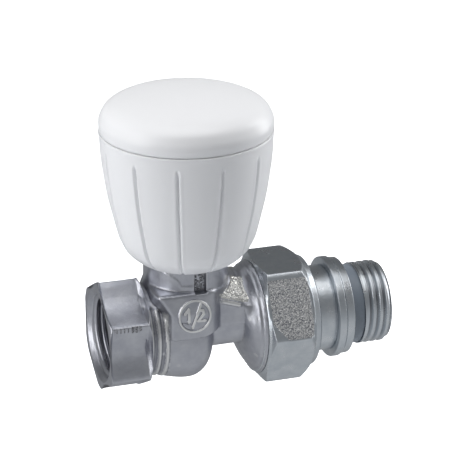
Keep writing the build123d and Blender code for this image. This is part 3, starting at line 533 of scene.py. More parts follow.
def cast_field(x, y, z):
    """Distance, near enough, from a point to the cast body's skin; less than 0 inside the metal.

    Barrel, boss, collar, branch, flare and saddle are joined by soft minimums whose widths are the
    casting's fillets. The waterways are then taken away by soft maximums.
    """
    rho, w = np.hypot(y, z), np.abs(y)
    # barrel with its ball end, slimmer and reeded at the neck
    slim = 1.7 * (1 - smooth_step(x, 9.0, 21.0)) * (1 - 0.6 * smooth_step(z, -6, 4))
    sag = 0.35 * smooth_step(-z, 4, 11) * np.exp(-(((x - 21.5) / 5) ** 2))
    reed = reed_height(x, z)
    barrel = corner_box(x - BARREL_END, rho - BARREL_R, BARREL_ROUND) + slim - sag - reed
    # boss: flat sides, angled nose towards the inlet, rounded towards the outlet
    lean = boss_lean(z)
    plan = corner_box(x - BOSS_END, w + lean - BOSS_HALF, BOSS_ROUND)
    nose = 0.4072 * (w + lean - 4.5) - 0.9133 * (x - 12.1 + 2.9 * lean)
    plan = soft_max(soft_max(plan, nose, 0.8), 12.1 - x, 0.8)
    top = COLLAR_LOW - 3.6 * smooth_step(y, 1.0, 6.0) * (1 - smooth_step(x, 18.0, 23.0))
    low = BOSS_LOW + 0.9 * smooth_step(x, 23, 28) - z
    boss = soft_max(soft_max(plan, z - top, 1.0), low, 0.25)
    body = soft_min(barrel, boss, 0.25)
    # branch and flare
    s = np.clip((x - FLARE_START) / (FLARE_X - FLARE_START), 0, 1)
    swell = (np.sqrt(s + 0.03) - math.sqrt(0.03)) / (math.sqrt(1.03) - math.sqrt(0.03))
    centre = BRANCH_Z * (1 - swell)
    flare_r = BRANCH_R + (FLARE_R - BRANCH_R) * swell
    ripple = 0.10 * np.exp(-(((x - 38.35) / 0.22) ** 2)) - 0.16 * np.exp(-(((x - 38.95) / 0.16) ** 2))
    slope = 0.7 * (x > FLARE_START) / np.sqrt(s + 0.03)
    ring = np.hypot(y, z - centre)
    flat_top = 1.1 * smooth_step((z - centre) / np.maximum(ring, 1), 0.1, 0.7) * (1 - s)
    branch = (ring - flare_r - ripple + flat_top) / np.sqrt(1 + slope**2)
    branch = soft_max(branch, x - FLARE_X, 0.2)
    branch = np.maximum(branch, stem_x - x)
    # saddle with its pads
    crown, edge = saddle_heights(x)
    rise, run = crown - edge, SADDLE_HALF - 1.6
    pad = ((w - SADDLE_HALF) * rise + (z - edge) * run) / np.hypot(rise, run)
    pad = pad - 0.8 * np.clip(1 - ((w - 5.2) / 4.2) ** 2, 0, 1)
    saddle = soft_max(soft_max(w - SADDLE_HALF, pad, 0.5), z - crown, 1.2)
    saddle = np.maximum(saddle, BRANCH_Z - 0.4 - z)
    saddle = np.maximum(soft_max(saddle, x - 37.2, 2.0), stem_x - x)
    lip = lip_distance(x, w, z) - 0.50
    branch = soft_min(branch, saddle, 0.5 + 1.2 * smooth_step(x, 34.6, 36.0))
    branch = soft_min(branch, lip, 0.25)
    body = soft_min(body, branch, 0.9)
    # collar, machined above a curved step on the inlet side
    step_z = np.where(x < 21.9, 15.4 + 1.75 * np.sqrt(np.maximum(18.7 - x, 0)), 13.2)
    turned = smooth_step(z - step_z, -0.1, 0.2) * (y < 0)
    round_stem = np.hypot(x - stem_x, y)
    oval = np.hypot(np.where(x > stem_x, 1.1, 1.0) * (x - stem_x), y)
    collar = np.maximum(oval - COLLAR_R + 0.20 * turned, 9.0 - z)
    collar = soft_max(collar, z - COLLAR_TOP, 0.5)
    body = soft_min(body, collar, 0.35)
    # locating slots
    slot = soft_max(np.abs(x - stem_x - 0.15) - 1.5, np.maximum(13.45 - z, COLLAR_R - 1.65 - w), 0.3)
    body = soft_max(body, -slot, 0.25)
    # waterways
    hollow = np.maximum(rho - NECK_BORE - 0.02, x - 12.0)
    port = soft_max(rho - PORT_R, z + 2.0, 0.6)
    port = soft_max(port, x - (BARREL_END - 3.2), 1.0)
    hollow = soft_min(hollow, port, 0.8)
    hollow = np.minimum(hollow, np.maximum(round_stem - SEAT_BORE, np.maximum(-4.0 - z, z - 2.0)))
    room = soft_max(round_stem - CHAMBER_R, 0.2 - z, 0.8)
    room = soft_max(room, z - 10.5, 0.3)
    room = soft_max(room, -soft_max(round_stem - SEAT_R, z - 1.4, 0.3), 0.4)
    hollow = np.minimum(hollow, room)
    hollow = np.minimum(hollow, np.maximum(round_stem - UPPER_R, 10.0 - z))
    # the outlet port slants from the chamber down to the middle of the union socket
    from_z = 4.6
    ax, az = 43.1 - stem_x, 1.0 - from_z
    t = ((x - stem_x) * ax + (z - from_z) * az) / math.hypot(ax, az)
    off = np.sqrt(np.maximum((x - stem_x) ** 2 + y**2 + (z - from_z) ** 2 - t**2, 0))
    hollow = np.minimum(hollow, np.maximum(off - OUTLET_R, -t))
    return soft_max(body, -hollow, 0.15)


def field_surface(field, low, high, cell):
    """The skin of a distance field as arrays of corners and four-sided faces (a surface net).

    One corner sits in each cell the skin passes through, at the mean of its edge crossings, and is
    then moved along the field's slope by -value / slope, three times, so it lies on the skin. One
    face joins the four cells round each grid edge the skin crosses.
    """
    axes = [np.arange(a, b + cell, cell) for a, b in zip(low, high)]
    value = field(*np.meshgrid(*axes, indexing="ij"))
    inside = value < 0
    cut = [slice(0, -1), slice(1, None)]
    corners = [(i, j, k) for i in (0, 1) for j in (0, 1) for k in (0, 1)]
    count = sum(inside[cut[i], cut[j], cut[k]].astype(np.int8) for i, j, k in corners)
    active = (count > 0) & (count < 8)
    index = np.full(active.shape, -1)
    where = np.argwhere(active)
    index[tuple(where.T)] = np.arange(len(where))
    total, crossings = np.zeros((len(where), 3)), np.zeros(len(where))
    for a in corners:
        for axis in range(3):
            if a[axis]:
                continue
            b = np.array(a)
            b[axis] = 1
            va, vb = value[tuple((where + a).T)], value[tuple((where + b).T)]
            hit = (va < 0) != (vb < 0)
            share = np.where(hit, va / np.where(hit, va - vb, 1), 0)
            point = np.array(a) + share[:, None] * (b - np.array(a))
            total += point * hit[:, None]
            crossings += hit
    verts = np.array(low) + cell * (where + total / crossings[:, None])
    tiny = 0.03 * np.eye(3)
    for _ in range(3):
        here = field(*verts.T)
        rise = [field(*(verts + step).T) - field(*(verts - step).T) for step in tiny]
        slope = np.stack(rise, 1) / 0.06
        move = here / np.maximum((slope**2).sum(1), 0.25)
        shift = slope * move[:, None]
        far = np.linalg.norm(shift, axis=1, keepdims=True)
        verts = verts - shift * np.minimum(1, 0.5 * cell / np.maximum(far, 1e-9))
    quads = []
    for axis in range(3):
        lo, hi = [slice(1, -1)] * 3, [slice(1, -1)] * 3
        lo[axis], hi[axis] = slice(0, -1), slice(1, None)
        a, b = inside[tuple(lo)], inside[tuple(hi)]
        spots = np.argwhere(a != b)
        out = a[tuple(spots.T)]
        spots = spots + 1
        spots[:, axis] -= 1
        u, v = np.eye(3, dtype=int)[(axis + 1) % 3], np.eye(3, dtype=int)[(axis + 2) % 3]
        ring = np.stack([index[tuple((spots - d).T)] for d in (u + v, v, 0 * u, u)], 1)
        quads.append(np.where(out[:, None], ring, ring[:, ::-1]))
    return verts, np.concatenate(quads)


def spigot():
    """The threaded spigot behind the rim, closed through the union socket.

    Outside: crest - depth * (1 - thread(x, angle)), faded at both ends. The outline turns in at the
    rim, so the piece sits inside the cast body.
    """
    outer_r, bore = THREE_QUARTER_R, SPIGOT_BORE
    outline = rounded(
        [
            (FLARE_X - 0.9, bore), (FLARE_X - 0.9, 14.0), (FLARE_X, 14.0), (FLARE_X, outer_r - 1.3),
            (FLARE_X + 1.2, outer_r - 1.3), (FLARE_X + 1.9, outer_r), (SPIGOT_X - 0.9, outer_r),
            (SPIGOT_X, outer_r - 0.9), (SPIGOT_X, bore + 0.7), (SPIGOT_X - 0.7, bore), (FLARE_X - 0.9, bore),
        ],
        [0, 0.1, 0.1, 0.3, 0.3, 0.2, 0.3, 0.3, 0.2, 0.2, 0],
        step=0.2,
    )[:-1]
    x, r = outline[:, :1], outline[:, 1:]
    angle = np.linspace(0, TAU, 180, endpoint=False)[None, :]
    threaded = (x > FLARE_X + 1.9) & (x < SPIGOT_X - 0.6) & (r > outer_r - 0.3)
    fade = smooth_step(x, FLARE_X + 1.9, FLARE_X + 3.0) * (1 - smooth_step(x, SPIGOT_X - 1.4, SPIGOT_X - 0.6))
    r = np.where(threaded, outer_r - 0.9 * fade * (1 - thread_height(x, angle)), r)
    return around_pipe(x, r, angle)


# ---------------------------------------------------------------- patches laid on the casting
def stroke(u, v, a, b, half):
    """Height of a rounded stroke from a to b: 1 on its middle, 0 past its half width."""
    a, b = np.array(a), np.array(b)
    d = b - a
    t = np.clip(((u - a[0]) * d[0] + (v - a[1]) * d[1]) / max(d @ d, 1e-9), 0, 1)
    far = np.hypot(u - a[0] - t * d[0], v - a[1] - t * d[1])
    return 1 - smooth_step(far, half * 0.5, half)


def on_skin(points, normal):
    """The points slid along one normal, by no more than 1.2 mm, until the cast field's value is 0."""
    slid = np.zeros(points.shape[:-1])
    for _ in range(8):
        at = points + slid[..., None] * normal
        slid = np.clip(slid - 0.9 * cast_field(at[..., 0], at[..., 1], at[..., 2]), -1.2, 1.2)
    return points + slid[..., None] * normal


def patch_piece(name, top, under, material):
    """A closed thin piece of the body from two matching grids, one above the casting and one sunk in it."""
    rows, columns = top.shape[:2]
    verts = np.concatenate([top.reshape(-1, 3), under.reshape(-1, 3)])
    faces = sheet_faces(rows, columns, False, False)
    r, c = np.arange(rows), np.arange(columns)
    rim = np.concatenate(
        [c, (r * columns + columns - 1)[1:], ((rows - 1) * columns + c)[::-1][1:], (r * columns)[::-1][1:-1]]
    )
    nxt = np.roll(rim, -1)
    under_at = rows * columns
    wall = np.stack([rim, nxt, nxt + under_at, rim + under_at], 1)
    faces = np.concatenate([faces, faces[:, ::-1] + under_at, wall])
    return mesh_piece(name, verts, faces, "body", "nickel_plated_brass", material)


def size_mark():
    """The raised size mark: a ring, a bar, 1, 2 and an arrow head, as heights over the boss's side.

    Height = the greatest of the strokes' heights, each with its own factor, in a shallow dish with
    fine noise, on a grid over the ring; grid edges are sunk. Returns the two grids of the patch and
    the share of ring and strokes, 0 or 1.
    """
    u, v = np.meshgrid(*[np.linspace(-5.0, 5.0, 150)] * 2, indexing="ij")
    rho = np.hypot(u, v)
    ring = 1 - smooth_step(np.abs(rho - 4.0), 0.16, 0.46)
    one = [((-2.5, 0.9), (-1.5, 2.0), 0.5), ((-1.5, 2.0), (-1.5, -1.2), 0.55)]
    bar = [((1.6, 3.0), (-0.6, -2.9), 0.5)]
    two = [
        ((0.7, 0.9), (1.2, 1.5), 0.5), ((1.2, 1.5), (2.1, 1.4), 0.5), ((2.1, 1.4), (2.3, 0.5), 0.5),
        ((2.3, 0.5), (0.8, -1.3), 0.5), ((0.8, -1.3), (2.7, -1.3), 0.5),
    ]
    marks = np.max([stroke(u, v, a, b, h) for a, b, h in one + bar + two], axis=0)
    barbs = [((-2.9, -1.5), (-0.9, -2.6), 0.34), ((-0.9, -2.6), (-1.9, -1.1), 0.34)]
    arrow = np.max([stroke(u, v, a, b, h) for a, b, h in barbs], axis=0)
    head = 1 - smooth_step(np.hypot(u - 2.9, (v - 2.85) * 1.2), 0.3, 0.7)
    dish = -0.10 * (1 - smooth_step(rho, 3.3, 3.8))
    rough = 0.03 * lattice_noise(u, v, 21, 0.6)
    height = np.maximum.reduce([ring * 0.50, marks * 0.46, arrow * 0.36, head * 0.55]) + dish + rough + 0.03
    height = np.where(rho > 4.55, -0.25, height)
    brim = np.minimum(height, 0.02) - 0.15 * (rho - 4.3) / 0.25
    height = np.where((rho > 4.3) & (rho <= 4.55), brim, height)
    cx, cz = stem_x - 1.9, 8.15
    flat = np.stack([cx + u, boss_lean(cz + v) - BOSS_HALF + 0 * u, cz + v], -1)
    skin = on_skin(flat, np.array([0.0, -1.0, 0.0]))
    top = skin - height[..., None] * np.array([0, 1, 0])
    under = skin + np.array([0, 0.6, 0])
    return top, under, (np.maximum(ring, marks) > 0.5).astype(float)


PAD_END, PAD_CLEAR = 38.0, 10.0


def rough_pad(side):
    """The saddle's rough pad on one side (-1 front, 1 back): the sloped face lifted by two scales of noise.

    Position = saddle face at (station, share across) + normal * lift, where lift is a height plus noise,
    and turns to a depth at the edges and towards the flare. It starts PAD_CLEAR from the stem.
    """
    s, t = np.meshgrid(np.linspace(0, 1, 96), np.linspace(0, 1, 88), indexing="ij")
    edge_t = 0.06 + 0.90 * t
    w = 1.6 + (SADDLE_HALF - 1.6) * edge_t
    x_left = np.maximum(stem_x + np.sqrt(np.maximum(PAD_CLEAR**2 - w**2, 0)), 26.8)
    reach = PAD_END - x_left
    x = x_left + reach * s
    crown, edge = saddle_heights(x)
    z = crown + (edge - crown) * edge_t
    rise, run = crown - edge, SADDLE_HALF - 1.6
    nw, nz = rise / np.hypot(rise, run), run / np.hypot(rise, run)
    noise = 0.65 * lattice_noise(x, w * 1.2, 31, 0.50) + 0.5 * lattice_noise(x + 0.3 * w, w, 32, 0.27)
    noise = np.sign(noise) * np.abs(noise) ** 0.75
    from_edge = np.minimum.reduce([s * reach, (1 - s) * reach, t * 8.0, (1 - t) * 8.0])
    hold = smooth_step(from_edge, 0.1, 0.9)
    hold = hold * (1 - smooth_step(x, 35.8, 37.2))
    lift = hold * (0.20 + 0.12 * noise) - 0.12 * (1 - hold)
    normal = np.stack([0 * x, side * nw, nz], -1)
    skin = on_skin(np.stack([x, side * w, z], -1), normal)
    return skin + normal * lift[..., None], skin - 0.9 * normal


def slot_floor(side):
    """The rough floor of a collar slot (-1 front, 1 back): a flat grid moved by two scales of noise."""
    u, v = np.meshgrid(np.linspace(-1.55, 1.55, 30), np.linspace(13.6, COLLAR_TOP - 0.6, 74), indexing="ij")
    depth = COLLAR_R - 1.62 + 0.15 * lattice_noise(u, v, 41, 0.42) + 0.08 * lattice_noise(u, v, 42, 0.22)
    x = stem_x + 0.15 + u
    return np.stack([x, side * depth, v], -1), np.stack([x, side * (COLLAR_R - 2.0) + 0 * u, v], -1)


# ---------------------------------------------------------------- shader nodes
class Graph:
    """A node tree, with a method for each kind of node that is used more than once."""

    def __init__(self, tree):
        self.tree = tree

    def add(self, kind):
        """A new node."""
        return self.tree.nodes.new(kind)

    def feed(self, socket, value):
        """Links value into the socket if it is a socket too, or else sets it as a number or colour."""
        if isinstance(value, bpy.types.NodeSocket):
            self.tree.links.new(value, socket)
        else:
            socket.default_value = value

    def maths(self, operation, a, b):
        """A Math node of two sockets or numbers."""
        node = self.add("ShaderNodeMath")
        node.operation = operation
        self.feed(node.inputs[0], a)
        self.feed(node.inputs[1], b)
        return node.outputs[0]

    def ramp(self, value, lo, hi, out_lo=0.0, out_hi=1.0):
        """Maps value from lo..hi to out_lo..out_hi, clamped."""
        node = self.add("ShaderNodeMapRange")
        node.clamp = True
        self.feed(node.inputs["Value"], value)
        for key, number in (("From Min", lo), ("From Max", hi), ("To Min", out_lo), ("To Max", out_hi)):
            self.feed(node.inputs[key], number)
        return node.outputs["Result"]

    def noise(self, place, scale, detail, roughness):
        """A noise texture's value at a place."""
        node = self.add("ShaderNodeTexNoise")
        self.feed(node.inputs["Vector"], place)
        for key, number in (("Scale", scale), ("Detail", detail), ("Roughness", roughness)):
            self.feed(node.inputs[key], number)
        return node.outputs["Fac"]

    def mix(self, factor, low, high):
        """A colour between low and high, each a socket or a colour; the node's inputs 6 and 7 are colours."""
        node = self.add("ShaderNodeMix")
        node.data_type = "RGBA"
        self.feed(node.inputs["Factor"], factor)
        self.feed(node.inputs[6], low)
        self.feed(node.inputs[7], high)
        return node.outputs[2]


def surface_group(name, defaults, build):
    """A shader node group. Its inputs are the defaults; its outputs are what build(graph, inputs) returns."""
    tree = bpy.data.node_groups.new(name, "ShaderNodeTree")
    graph = Graph(tree)
    for label, value in defaults.items():
        kind = "NodeSocketColor" if isinstance(value, tuple) else "NodeSocketFloat"
        tree.interface.new_socket(label, in_out="INPUT", socket_type=kind).default_value = value
    found = build(graph, graph.add("NodeGroupInput").outputs)
    for label in found:
        kind = "NodeSocketColor" if label == "Colour" else "NodeSocketFloat"
        tree.interface.new_socket(label, in_out="OUTPUT", socket_type=kind)
    result = graph.add("NodeGroupOutput").inputs
    for label, value in found.items():
        graph.feed(result[label], value)
    return tree


def build_plating(graph, given):
    """Plated surface: patchy roughness, fine random scratches, soft casting ripple, worn edges, and painted
    shade darkening the hollows.
    """
    place = graph.add("ShaderNodeTexCoord").outputs["Object"]
    patch = graph.noise(place, 260.0, 4.0, 0.6)
    fine = graph.noise(place, 2600.0, 3.0, 0.7)
    peel = graph.noise(place, 900.0, 2.0, 0.5)
    stretch = graph.add("ShaderNodeMapping")
    graph.feed(stretch.inputs["Vector"], place)
    graph.feed(stretch.inputs["Scale"], (300.0, 4200.0, 4200.0))
    graph.feed(stretch.inputs["Rotation"], (0.3, 0.5, 0.9))
    scratches = graph.ramp(graph.noise(stretch.outputs["Vector"], 1.0, 2.0, 0.6), 0.60, 0.74)
    point = graph.add("ShaderNodeNewGeometry").outputs["Pointiness"]
    patchy = graph.ramp(patch, 0.35, 0.65)
    worn = graph.maths("MULTIPLY", graph.ramp(point, 0.515, 0.60), patchy)
    rough = graph.maths("ADD", given["Roughness"], graph.ramp(patch, 0.3, 0.7, -0.05, 0.06))
    rough = graph.maths("ADD", rough, graph.maths("MULTIPLY", scratches, 0.08))
    height = graph.maths("MULTIPLY", peel, given["Casting"])
    height = graph.maths("ADD", height, graph.maths("MULTIPLY", fine, given["Grain"]))
    return {
        "Colour": graph.mix(patchy, given["Colour"], given["Tint"]),
        "Roughness": graph.maths("SUBTRACT", rough, graph.maths("MULTIPLY", worn, 0.08)),
        "Height": graph.maths("SUBTRACT", height, graph.maths("MULTIPLY", scratches, 0.12)),
        "Worn": worn,
        # painted shade: the colour darkens where the surface is hollow (low pointiness), standing in for shade
        # in creases and recesses
        "Painted Shade": graph.ramp(point, 0.485, 0.42),
    }


def build_moulding(graph, given):
    """Moulded plastic: faint flow clouds in the colour, a fine spark-eroded grain and tiny scuffs."""
    place = graph.add("ShaderNodeTexCoord").outputs["Object"]
    cloud = graph.noise(place, 70.0, 3.0, 0.5)
    grain = graph.noise(place, 3200.0, 2.0, 0.6)
    scuff = graph.ramp(graph.noise(place, 1500.0, 3.0, 0.6), 0.62, 0.78)
    rough = graph.maths("ADD", given["Roughness"], graph.maths("MULTIPLY", scuff, 0.03))
    height = graph.maths("MULTIPLY", grain, given["Grain"])
    return {
        "Colour": graph.mix(graph.ramp(cloud, 0.1, 0.9), given["Colour"], given["Tint"]),
        "Roughness": graph.maths("ADD", rough, graph.ramp(cloud, 0.1, 0.9, -0.01, 0.02)),
        "Height": graph.maths("ADD", height, graph.maths("MULTIPLY", scuff, 0.02)),
    }


def build_stipple(graph, given):
    """Blasted or as-cast grain: light crests and dark pits from two noises, the same noise as height."""
    place = graph.add("ShaderNodeTexCoord").outputs["Object"]
    coarse = graph.maths("MULTIPLY", graph.noise(place, 3100.0, 1.0, 0.5), 0.6)
    fine = graph.maths("MULTIPLY", graph.noise(place, 6200.0, 1.0, 0.5), 0.4)
    crest = graph.ramp(graph.maths("ADD", coarse, fine), 0.38, 0.64)
    return {
        "Colour": graph.mix(crest, given["Pit"], given["Crest"]),
        "Roughness": graph.maths("SUBTRACT", given["Roughness"], graph.maths("MULTIPLY", crest, 0.15)),
        "Height": crest,
    }


plating = surface_group(
    "plated surface",
    {
        "Colour": (0.60, 0.61, 0.63, 1), "Tint": (0.55, 0.56, 0.60, 1),
        "Roughness": 0.3, "Casting": 0.5, "Grain": 0.2,
    },
    build_plating,
)
moulding = surface_group(
    "moulded surface",
    {"Colour": (0.8, 0.8, 0.81, 1), "Tint": (0.78, 0.78, 0.8, 1), "Roughness": 0.35, "Grain": 0.1},
    build_moulding,
)
stipple = surface_group(
    "stippled surface",
    {"Pit": (0.2, 0.2, 0.22, 1), "Crest": (0.9, 0.9, 0.9, 1), "Roughness": 0.5},
    build_stipple,
)
RELIEF = 0.0001


def finish_material(name, group, values, metallic, bump, wear_and_shade=()):
    """A material whose Principled node is fed by one surface group.

    The wear-and-shade list gives a colour for a mask of the group, mixed in by that mask: lighter worn edges
    are real wear, darker hollows are painted shade.
    The bump's full height is RELIEF metres.
    """
    material = bpy.data.materials.new(name)
    material.use_nodes = True
    graph = Graph(material.node_tree)
    shader = graph.tree.nodes["Principled BSDF"].inputs
    surface = graph.add("ShaderNodeGroup")
    surface.node_tree = group
    for key, value in values.items():
        graph.feed(surface.inputs[key], value)
    colour = surface.outputs["Colour"]
    for mask, mask_colour in wear_and_shade:
        colour = graph.mix(surface.outputs[mask], colour, mask_colour)
    relief = graph.add("ShaderNodeBump")
    graph.feed(relief.inputs["Strength"], bump)
    graph.feed(relief.inputs["Distance"], RELIEF)
    graph.feed(relief.inputs["Height"], surface.outputs["Height"])
    graph.feed(shader["Metallic"], metallic)
    graph.feed(shader["Base Color"], colour)
    graph.feed(shader["Roughness"], surface.outputs["Roughness"])
    graph.feed(shader["Normal"], relief.outputs["Normal"])
    return material


# Lighter worn edges (real wear) and darker hollows (painted shade) for the nickel plate.
NICKEL_WEAR_AND_SHADE = (("Worn", (0.72, 0.72, 0.73, 1)), ("Painted Shade", (0.22, 0.22, 0.24, 1)))


def plated(name, colour, tint, roughness, casting, grain, bump, wear_and_shade=NICKEL_WEAR_AND_SHADE):
    """A metal of the plated surface."""
    values = {
        "Colour": (*colour, 1), "Tint": (*tint, 1), "Roughness": roughness, "Casting": casting, "Grain": grain,
    }
    return finish_material(name, plating, values, 1.0, bump, wear_and_shade)


def moulded(name, colour, tint, roughness, grain, bump):
    """A plastic or rubber of the moulded surface."""
    values = {"Colour": (*colour, 1), "Tint": (*tint, 1), "Roughness": roughness, "Grain": grain}
    return finish_material(name, moulding, values, 0.0, bump)


def stippled(name, pit, crest, roughness, bump):
    """A metal of the stippled surface."""
    values = {"Pit": (*pit, 1), "Crest": (*crest, 1), "Roughness": roughness}
    return finish_material(name, stipple, values, 1.0, bump)


cast_nickel = plated("cast nickel plate", (0.57, 0.58, 0.62), (0.49, 0.50, 0.55), 0.33, 1.2, 0.8, 0.5)
turned_nickel = plated("turned nickel plate", (0.68, 0.71, 0.74), (0.58, 0.62, 0.66), 0.30, 0.7, 0.6, 0.4)
# Lighter copy of the plate: a painted highlight on the reed crests, the saddle lip and the raised size mark.
highlight_nickel = plated("light nickel plate, painted highlight", (0.93, 0.93, 0.92), (0.84, 0.84, 0.84), 0.36, 0.4, 0.4, 0.3)
blasted_nickel = stippled("blasted nickel plate", (0.22, 0.23, 0.26), (0.98, 0.97, 0.95), 0.5, 0.6)
rough_nickel = stippled("rough cast nickel plate", (0.80, 0.79, 0.76), (1.0, 0.99, 0.95), 0.30, 0.3)
# Dark nickel: in the inlet's nicks it is oxide; on the collar slot floors it is painted shade for the slots'
# depth.
oxide_and_shade_nickel = stippled("dark nickel, oxide in nicks and painted shade in slots", (0.12, 0.12, 0.13), (0.55, 0.55, 0.58), 0.5, 0.5)
white_moulding = moulded(
    "white moulded plastic", (0.84, 0.845, 0.86), (0.833, 0.838, 0.855), 0.28, 0.25, 0.05
)
# The seal's own dark colour; on the widened tail seal ring it also serves as painted shade.
dark_seal = moulded("dark thread seal", (0.17, 0.20, 0.24), (0.21, 0.24, 0.28), 0.34, 0.4, 0.15)
BY_SLOT = {
    "nickel_plated_brass": turned_nickel,
    "white_plastic": white_moulding,
    "dark_sealing_rubber": dark_seal,
    "black_rubber": moulded("black seal rubber", (0.025, 0.025, 0.027), (0.04, 0.04, 0.042), 0.6, 0.6, 0.2),
    "bare_brass": plated(
        "machined brass", (0.70, 0.52, 0.24), (0.62, 0.46, 0.22), 0.25, 0.2, 0.2, 0.2,
        [("Worn", (0.8, 0.64, 0.36, 1))],
    ),
    "stainless_steel": plated(
        "turned stainless steel", (0.58, 0.57, 0.56), (0.50, 0.50, 0.50), 0.22, 0.1, 0.2, 0.2,
        [("Worn", (0.7, 0.7, 0.7, 1))],
    ),
}
slots = {s["node"]: s["material_slot"] for s in frame["record"]["subparts"]}
for node, piece in frame["nodes"].items():
    material = cast_nickel if node == "valve_body" else BY_SLOT[slots[node]]
    if not piece.material_slots:
        piece.data.materials.append(material)
    for slot in piece.material_slots:
        slot.material = material

# ---------------------------------------------------------------- pieces
wheel = ("handwheel", "white_plastic", white_moulding)
turned_piece("handwheel_fluted_skirt", handwheel_skirt(), *wheel, ["handwheel_skirt"])
turned_piece("handwheel_dome_cap", handwheel_cap(), *wheel, ["handwheel_cap"])
nut_grid, nut_windows = union_nut()
nut = turned_piece("union_hexagon_nut", nut_grid, "nut", "nickel_plated_brass", turned_nickel, ["union_nut"])
second_finish(nut, nut_windows, blasted_nickel)
# the widened dark seal: the real seal plus a band of painted shade on the tail
turned_piece("tail_seal_ring", thread_seal(), "tail", "dark_sealing_rubber", dark_seal, ["thread_seal_ring"])
turned_piece("threaded_tailpiece", tailpiece(), "tail", "nickel_plated_brass", turned_nickel, ["tailpiece"])

cast = ("body", "nickel_plated_brass", cast_nickel)
inlet_grid, inlet_nicks = inlet_end()
inlet = turned_piece("hexagon_inlet_end", inlet_grid, *cast, ["valve_body"])
second_finish(inlet, inlet_nicks, oxide_and_shade_nickel)
skin, skin_faces = field_surface(cast_field, CAST_LOW, CAST_HIGH, CAST_CELL)
cast_body = mesh_piece("cast_body", skin, skin_faces, *cast, ["valve_body"])
x, y, z = skin.T
on_neck = (np.hypot(y, z) > 10.0) & (np.abs(x - 12.6) < 2.7) & (z < 9.2)
# The reed crests and the saddle's lip get the lighter plate as a painted highlight.
reed_highlight = on_neck & (np.abs(reed_height(x, z) - 0.19) < 0.26)
second_finish(cast_body, reed_highlight | (lip_distance(x, np.abs(y), z) < 0.62), highlight_nickel)
turned_piece("union_spigot", spigot(), "body", "nickel_plated_brass", turned_nickel, ["valve_body"])
mark_top, mark_under, mark_raised = size_mark()
mark = patch_piece("cast_size_mark", mark_top, mark_under, cast_nickel)
# The raised ring and figures of the size mark get the lighter plate as a painted highlight.
second_finish(mark, np.stack([mark_raised, 0 * mark_raised]), highlight_nickel)
for side, place in ((-1, "front"), (1, "back")):
    patch_piece("saddle_pad_" + place, *rough_pad(side), rough_nickel)
    # the slot floors take the dark nickel as painted shade inside the slots
    patch_piece("collar_slot_floor_" + place, *slot_floor(side), oxide_and_shade_nickel)

# ---------------------------------------------------------------- floor, light, camera
scene = bpy.context.scene
scene.view_settings.view_transform = "Standard"
scene.view_settings.look = "None"
target = Vector((35.708, 0, 22.882)) * MM


def softbox(name, place, size, power, mirrored=True):
    """A rectangular area light at place, facing the target, in metres; gloss shows it only if mirrored."""
    data = bpy.data.lights.new(name, "AREA")
    data.shape, data.size, data.size_y, data.energy = "RECTANGLE", size[0], size[1], power
    lamp = bpy.data.objects.new(name, data)
    lamp.location = place
    lamp.rotation_euler = (target - Vector(place)).to_track_quat("-Z", "Y").to_euler()
    lamp.visible_camera, lamp.visible_glossy = False, mirrored
    scene.collection.objects.link(lamp)


softbox("left softbox", (-0.45, -0.09, 0.16), (0.26, 0.50), 0.95)
softbox("right softbox", (0.52, 0.10, 0.15), (0.20, 0.50), 0.80)
softbox("top softbox", (0.02, -0.07, 0.50), (0.50, 0.40), 0.80)
softbox("left fill", (-0.52, 0.22, 0.20), (0.40, 0.50), 1.45, mirrored=False)
softbox("right fill", (0.57, 0.16, 0.20), (0.40, 0.50), 1.75, mirrored=False)
softbox("top fill", (0.04, 0.02, 0.60), (0.40, 0.40), 1.40, mirrored=False)

floor_mesh = bpy.data.meshes.new("floor")
reach, level = 3.0, -0.06
floor_corners = [(x * reach, y * reach, level) for x, y in ((-1, -1), (1, -1), (1, 1), (-1, 1))]
floor_mesh.from_pydata(floor_corners, [], [(0, 1, 2, 3)])
floor = bpy.data.objects.new("floor", floor_mesh)
scene.collection.objects.link(floor)
floor_white = bpy.data.materials.new("pale floor")
floor_white.use_nodes = True
graph = Graph(floor_white.node_tree)
shader = graph.tree.nodes["Principled BSDF"].inputs
graph.feed(shader["Base Color"], (0.75, 0.77, 0.80, 1))
graph.feed(shader["Roughness"], 0.9)
graph.feed(shader["Emission Color"], (1, 1, 1, 1))
camera_ray = graph.add("ShaderNodeLightPath").outputs["Is Camera Ray"]
graph.feed(shader["Emission Strength"], graph.ramp(camera_ray, 0.0, 1.0, 0.15, 0.95))
floor.data.materials.append(floor_white)
floor.visible_glossy = False

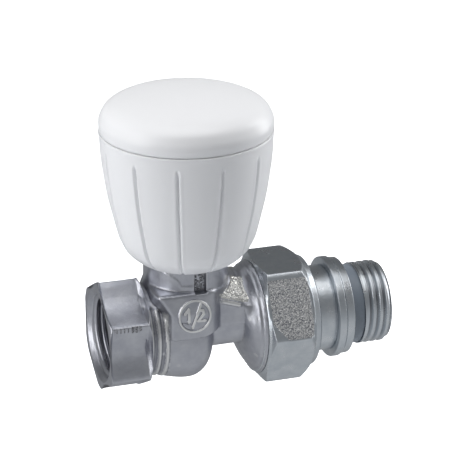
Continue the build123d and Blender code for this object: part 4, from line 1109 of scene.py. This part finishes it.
# The world is a grey sky, darker upwards and to the back, and dimmer for diffuse rays. The camera sees
# white instead.
world = bpy.data.worlds.new("studio")
scene.world = world
world.use_nodes = True
graph = Graph(world.node_tree)
sky = graph.tree.nodes["Background"]
split = graph.add("ShaderNodeSeparateXYZ")
graph.feed(split.inputs[0], graph.add("ShaderNodeTexCoord").outputs["Generated"])
levels = graph.add("ShaderNodeValToRGB")
graph.feed(levels.inputs["Fac"], graph.ramp(split.outputs["Z"], -1.0, 1.0))
for k, (at, grey) in enumerate([(0.0, 0.56), (0.36, 0.52), (0.47, 0.40), (0.62, 0.27), (1.0, 0.20)]):
    stop = levels.color_ramp.elements[k] if k < 2 else levels.color_ramp.elements.new(at)
    stop.position = at
    stop.color = (grey * 0.95, grey * 0.975, grey, 1)
rays = graph.add("ShaderNodeLightPath").outputs
behind = graph.ramp(split.outputs["Y"], -0.2, 0.7, 1.0, 0.62)
soft = graph.ramp(rays["Is Diffuse Ray"], 0.0, 1.0, 1.0, 0.36)
graph.feed(sky.inputs["Color"], levels.outputs["Color"])
graph.feed(sky.inputs["Strength"], graph.maths("MULTIPLY", behind, soft))
seen = graph.add("ShaderNodeBackground")
graph.feed(seen.inputs["Color"], (1, 1, 1, 1))
graph.feed(seen.inputs["Strength"], 1.05)
choose = graph.add("ShaderNodeMixShader")
for socket, value in zip(choose.inputs, (rays["Is Camera Ray"], sky.outputs[0], seen.outputs[0])):
    graph.feed(socket, value)
graph.feed(graph.tree.nodes["World Output"].inputs["Surface"], choose.outputs[0])

camera_data = bpy.data.cameras.new("camera")
camera_data.lens, camera_data.sensor_width = 176.1, 36.0
camera_data.clip_start, camera_data.clip_end = 0.05, 20
camera = bpy.data.objects.new("camera", camera_data)
azimuth, elevation, away = math.radians(-17.397), math.radians(23.084), 573.23 * MM
level_sight = math.cos(elevation)
sight = Vector((math.sin(azimuth) * level_sight, -math.cos(azimuth) * level_sight, math.sin(elevation)))
camera.location = target + sight * away
camera.rotation_euler = (-sight).to_track_quat("-Z", "Y").to_euler()
scene.collection.objects.link(camera)
scene.camera = camera
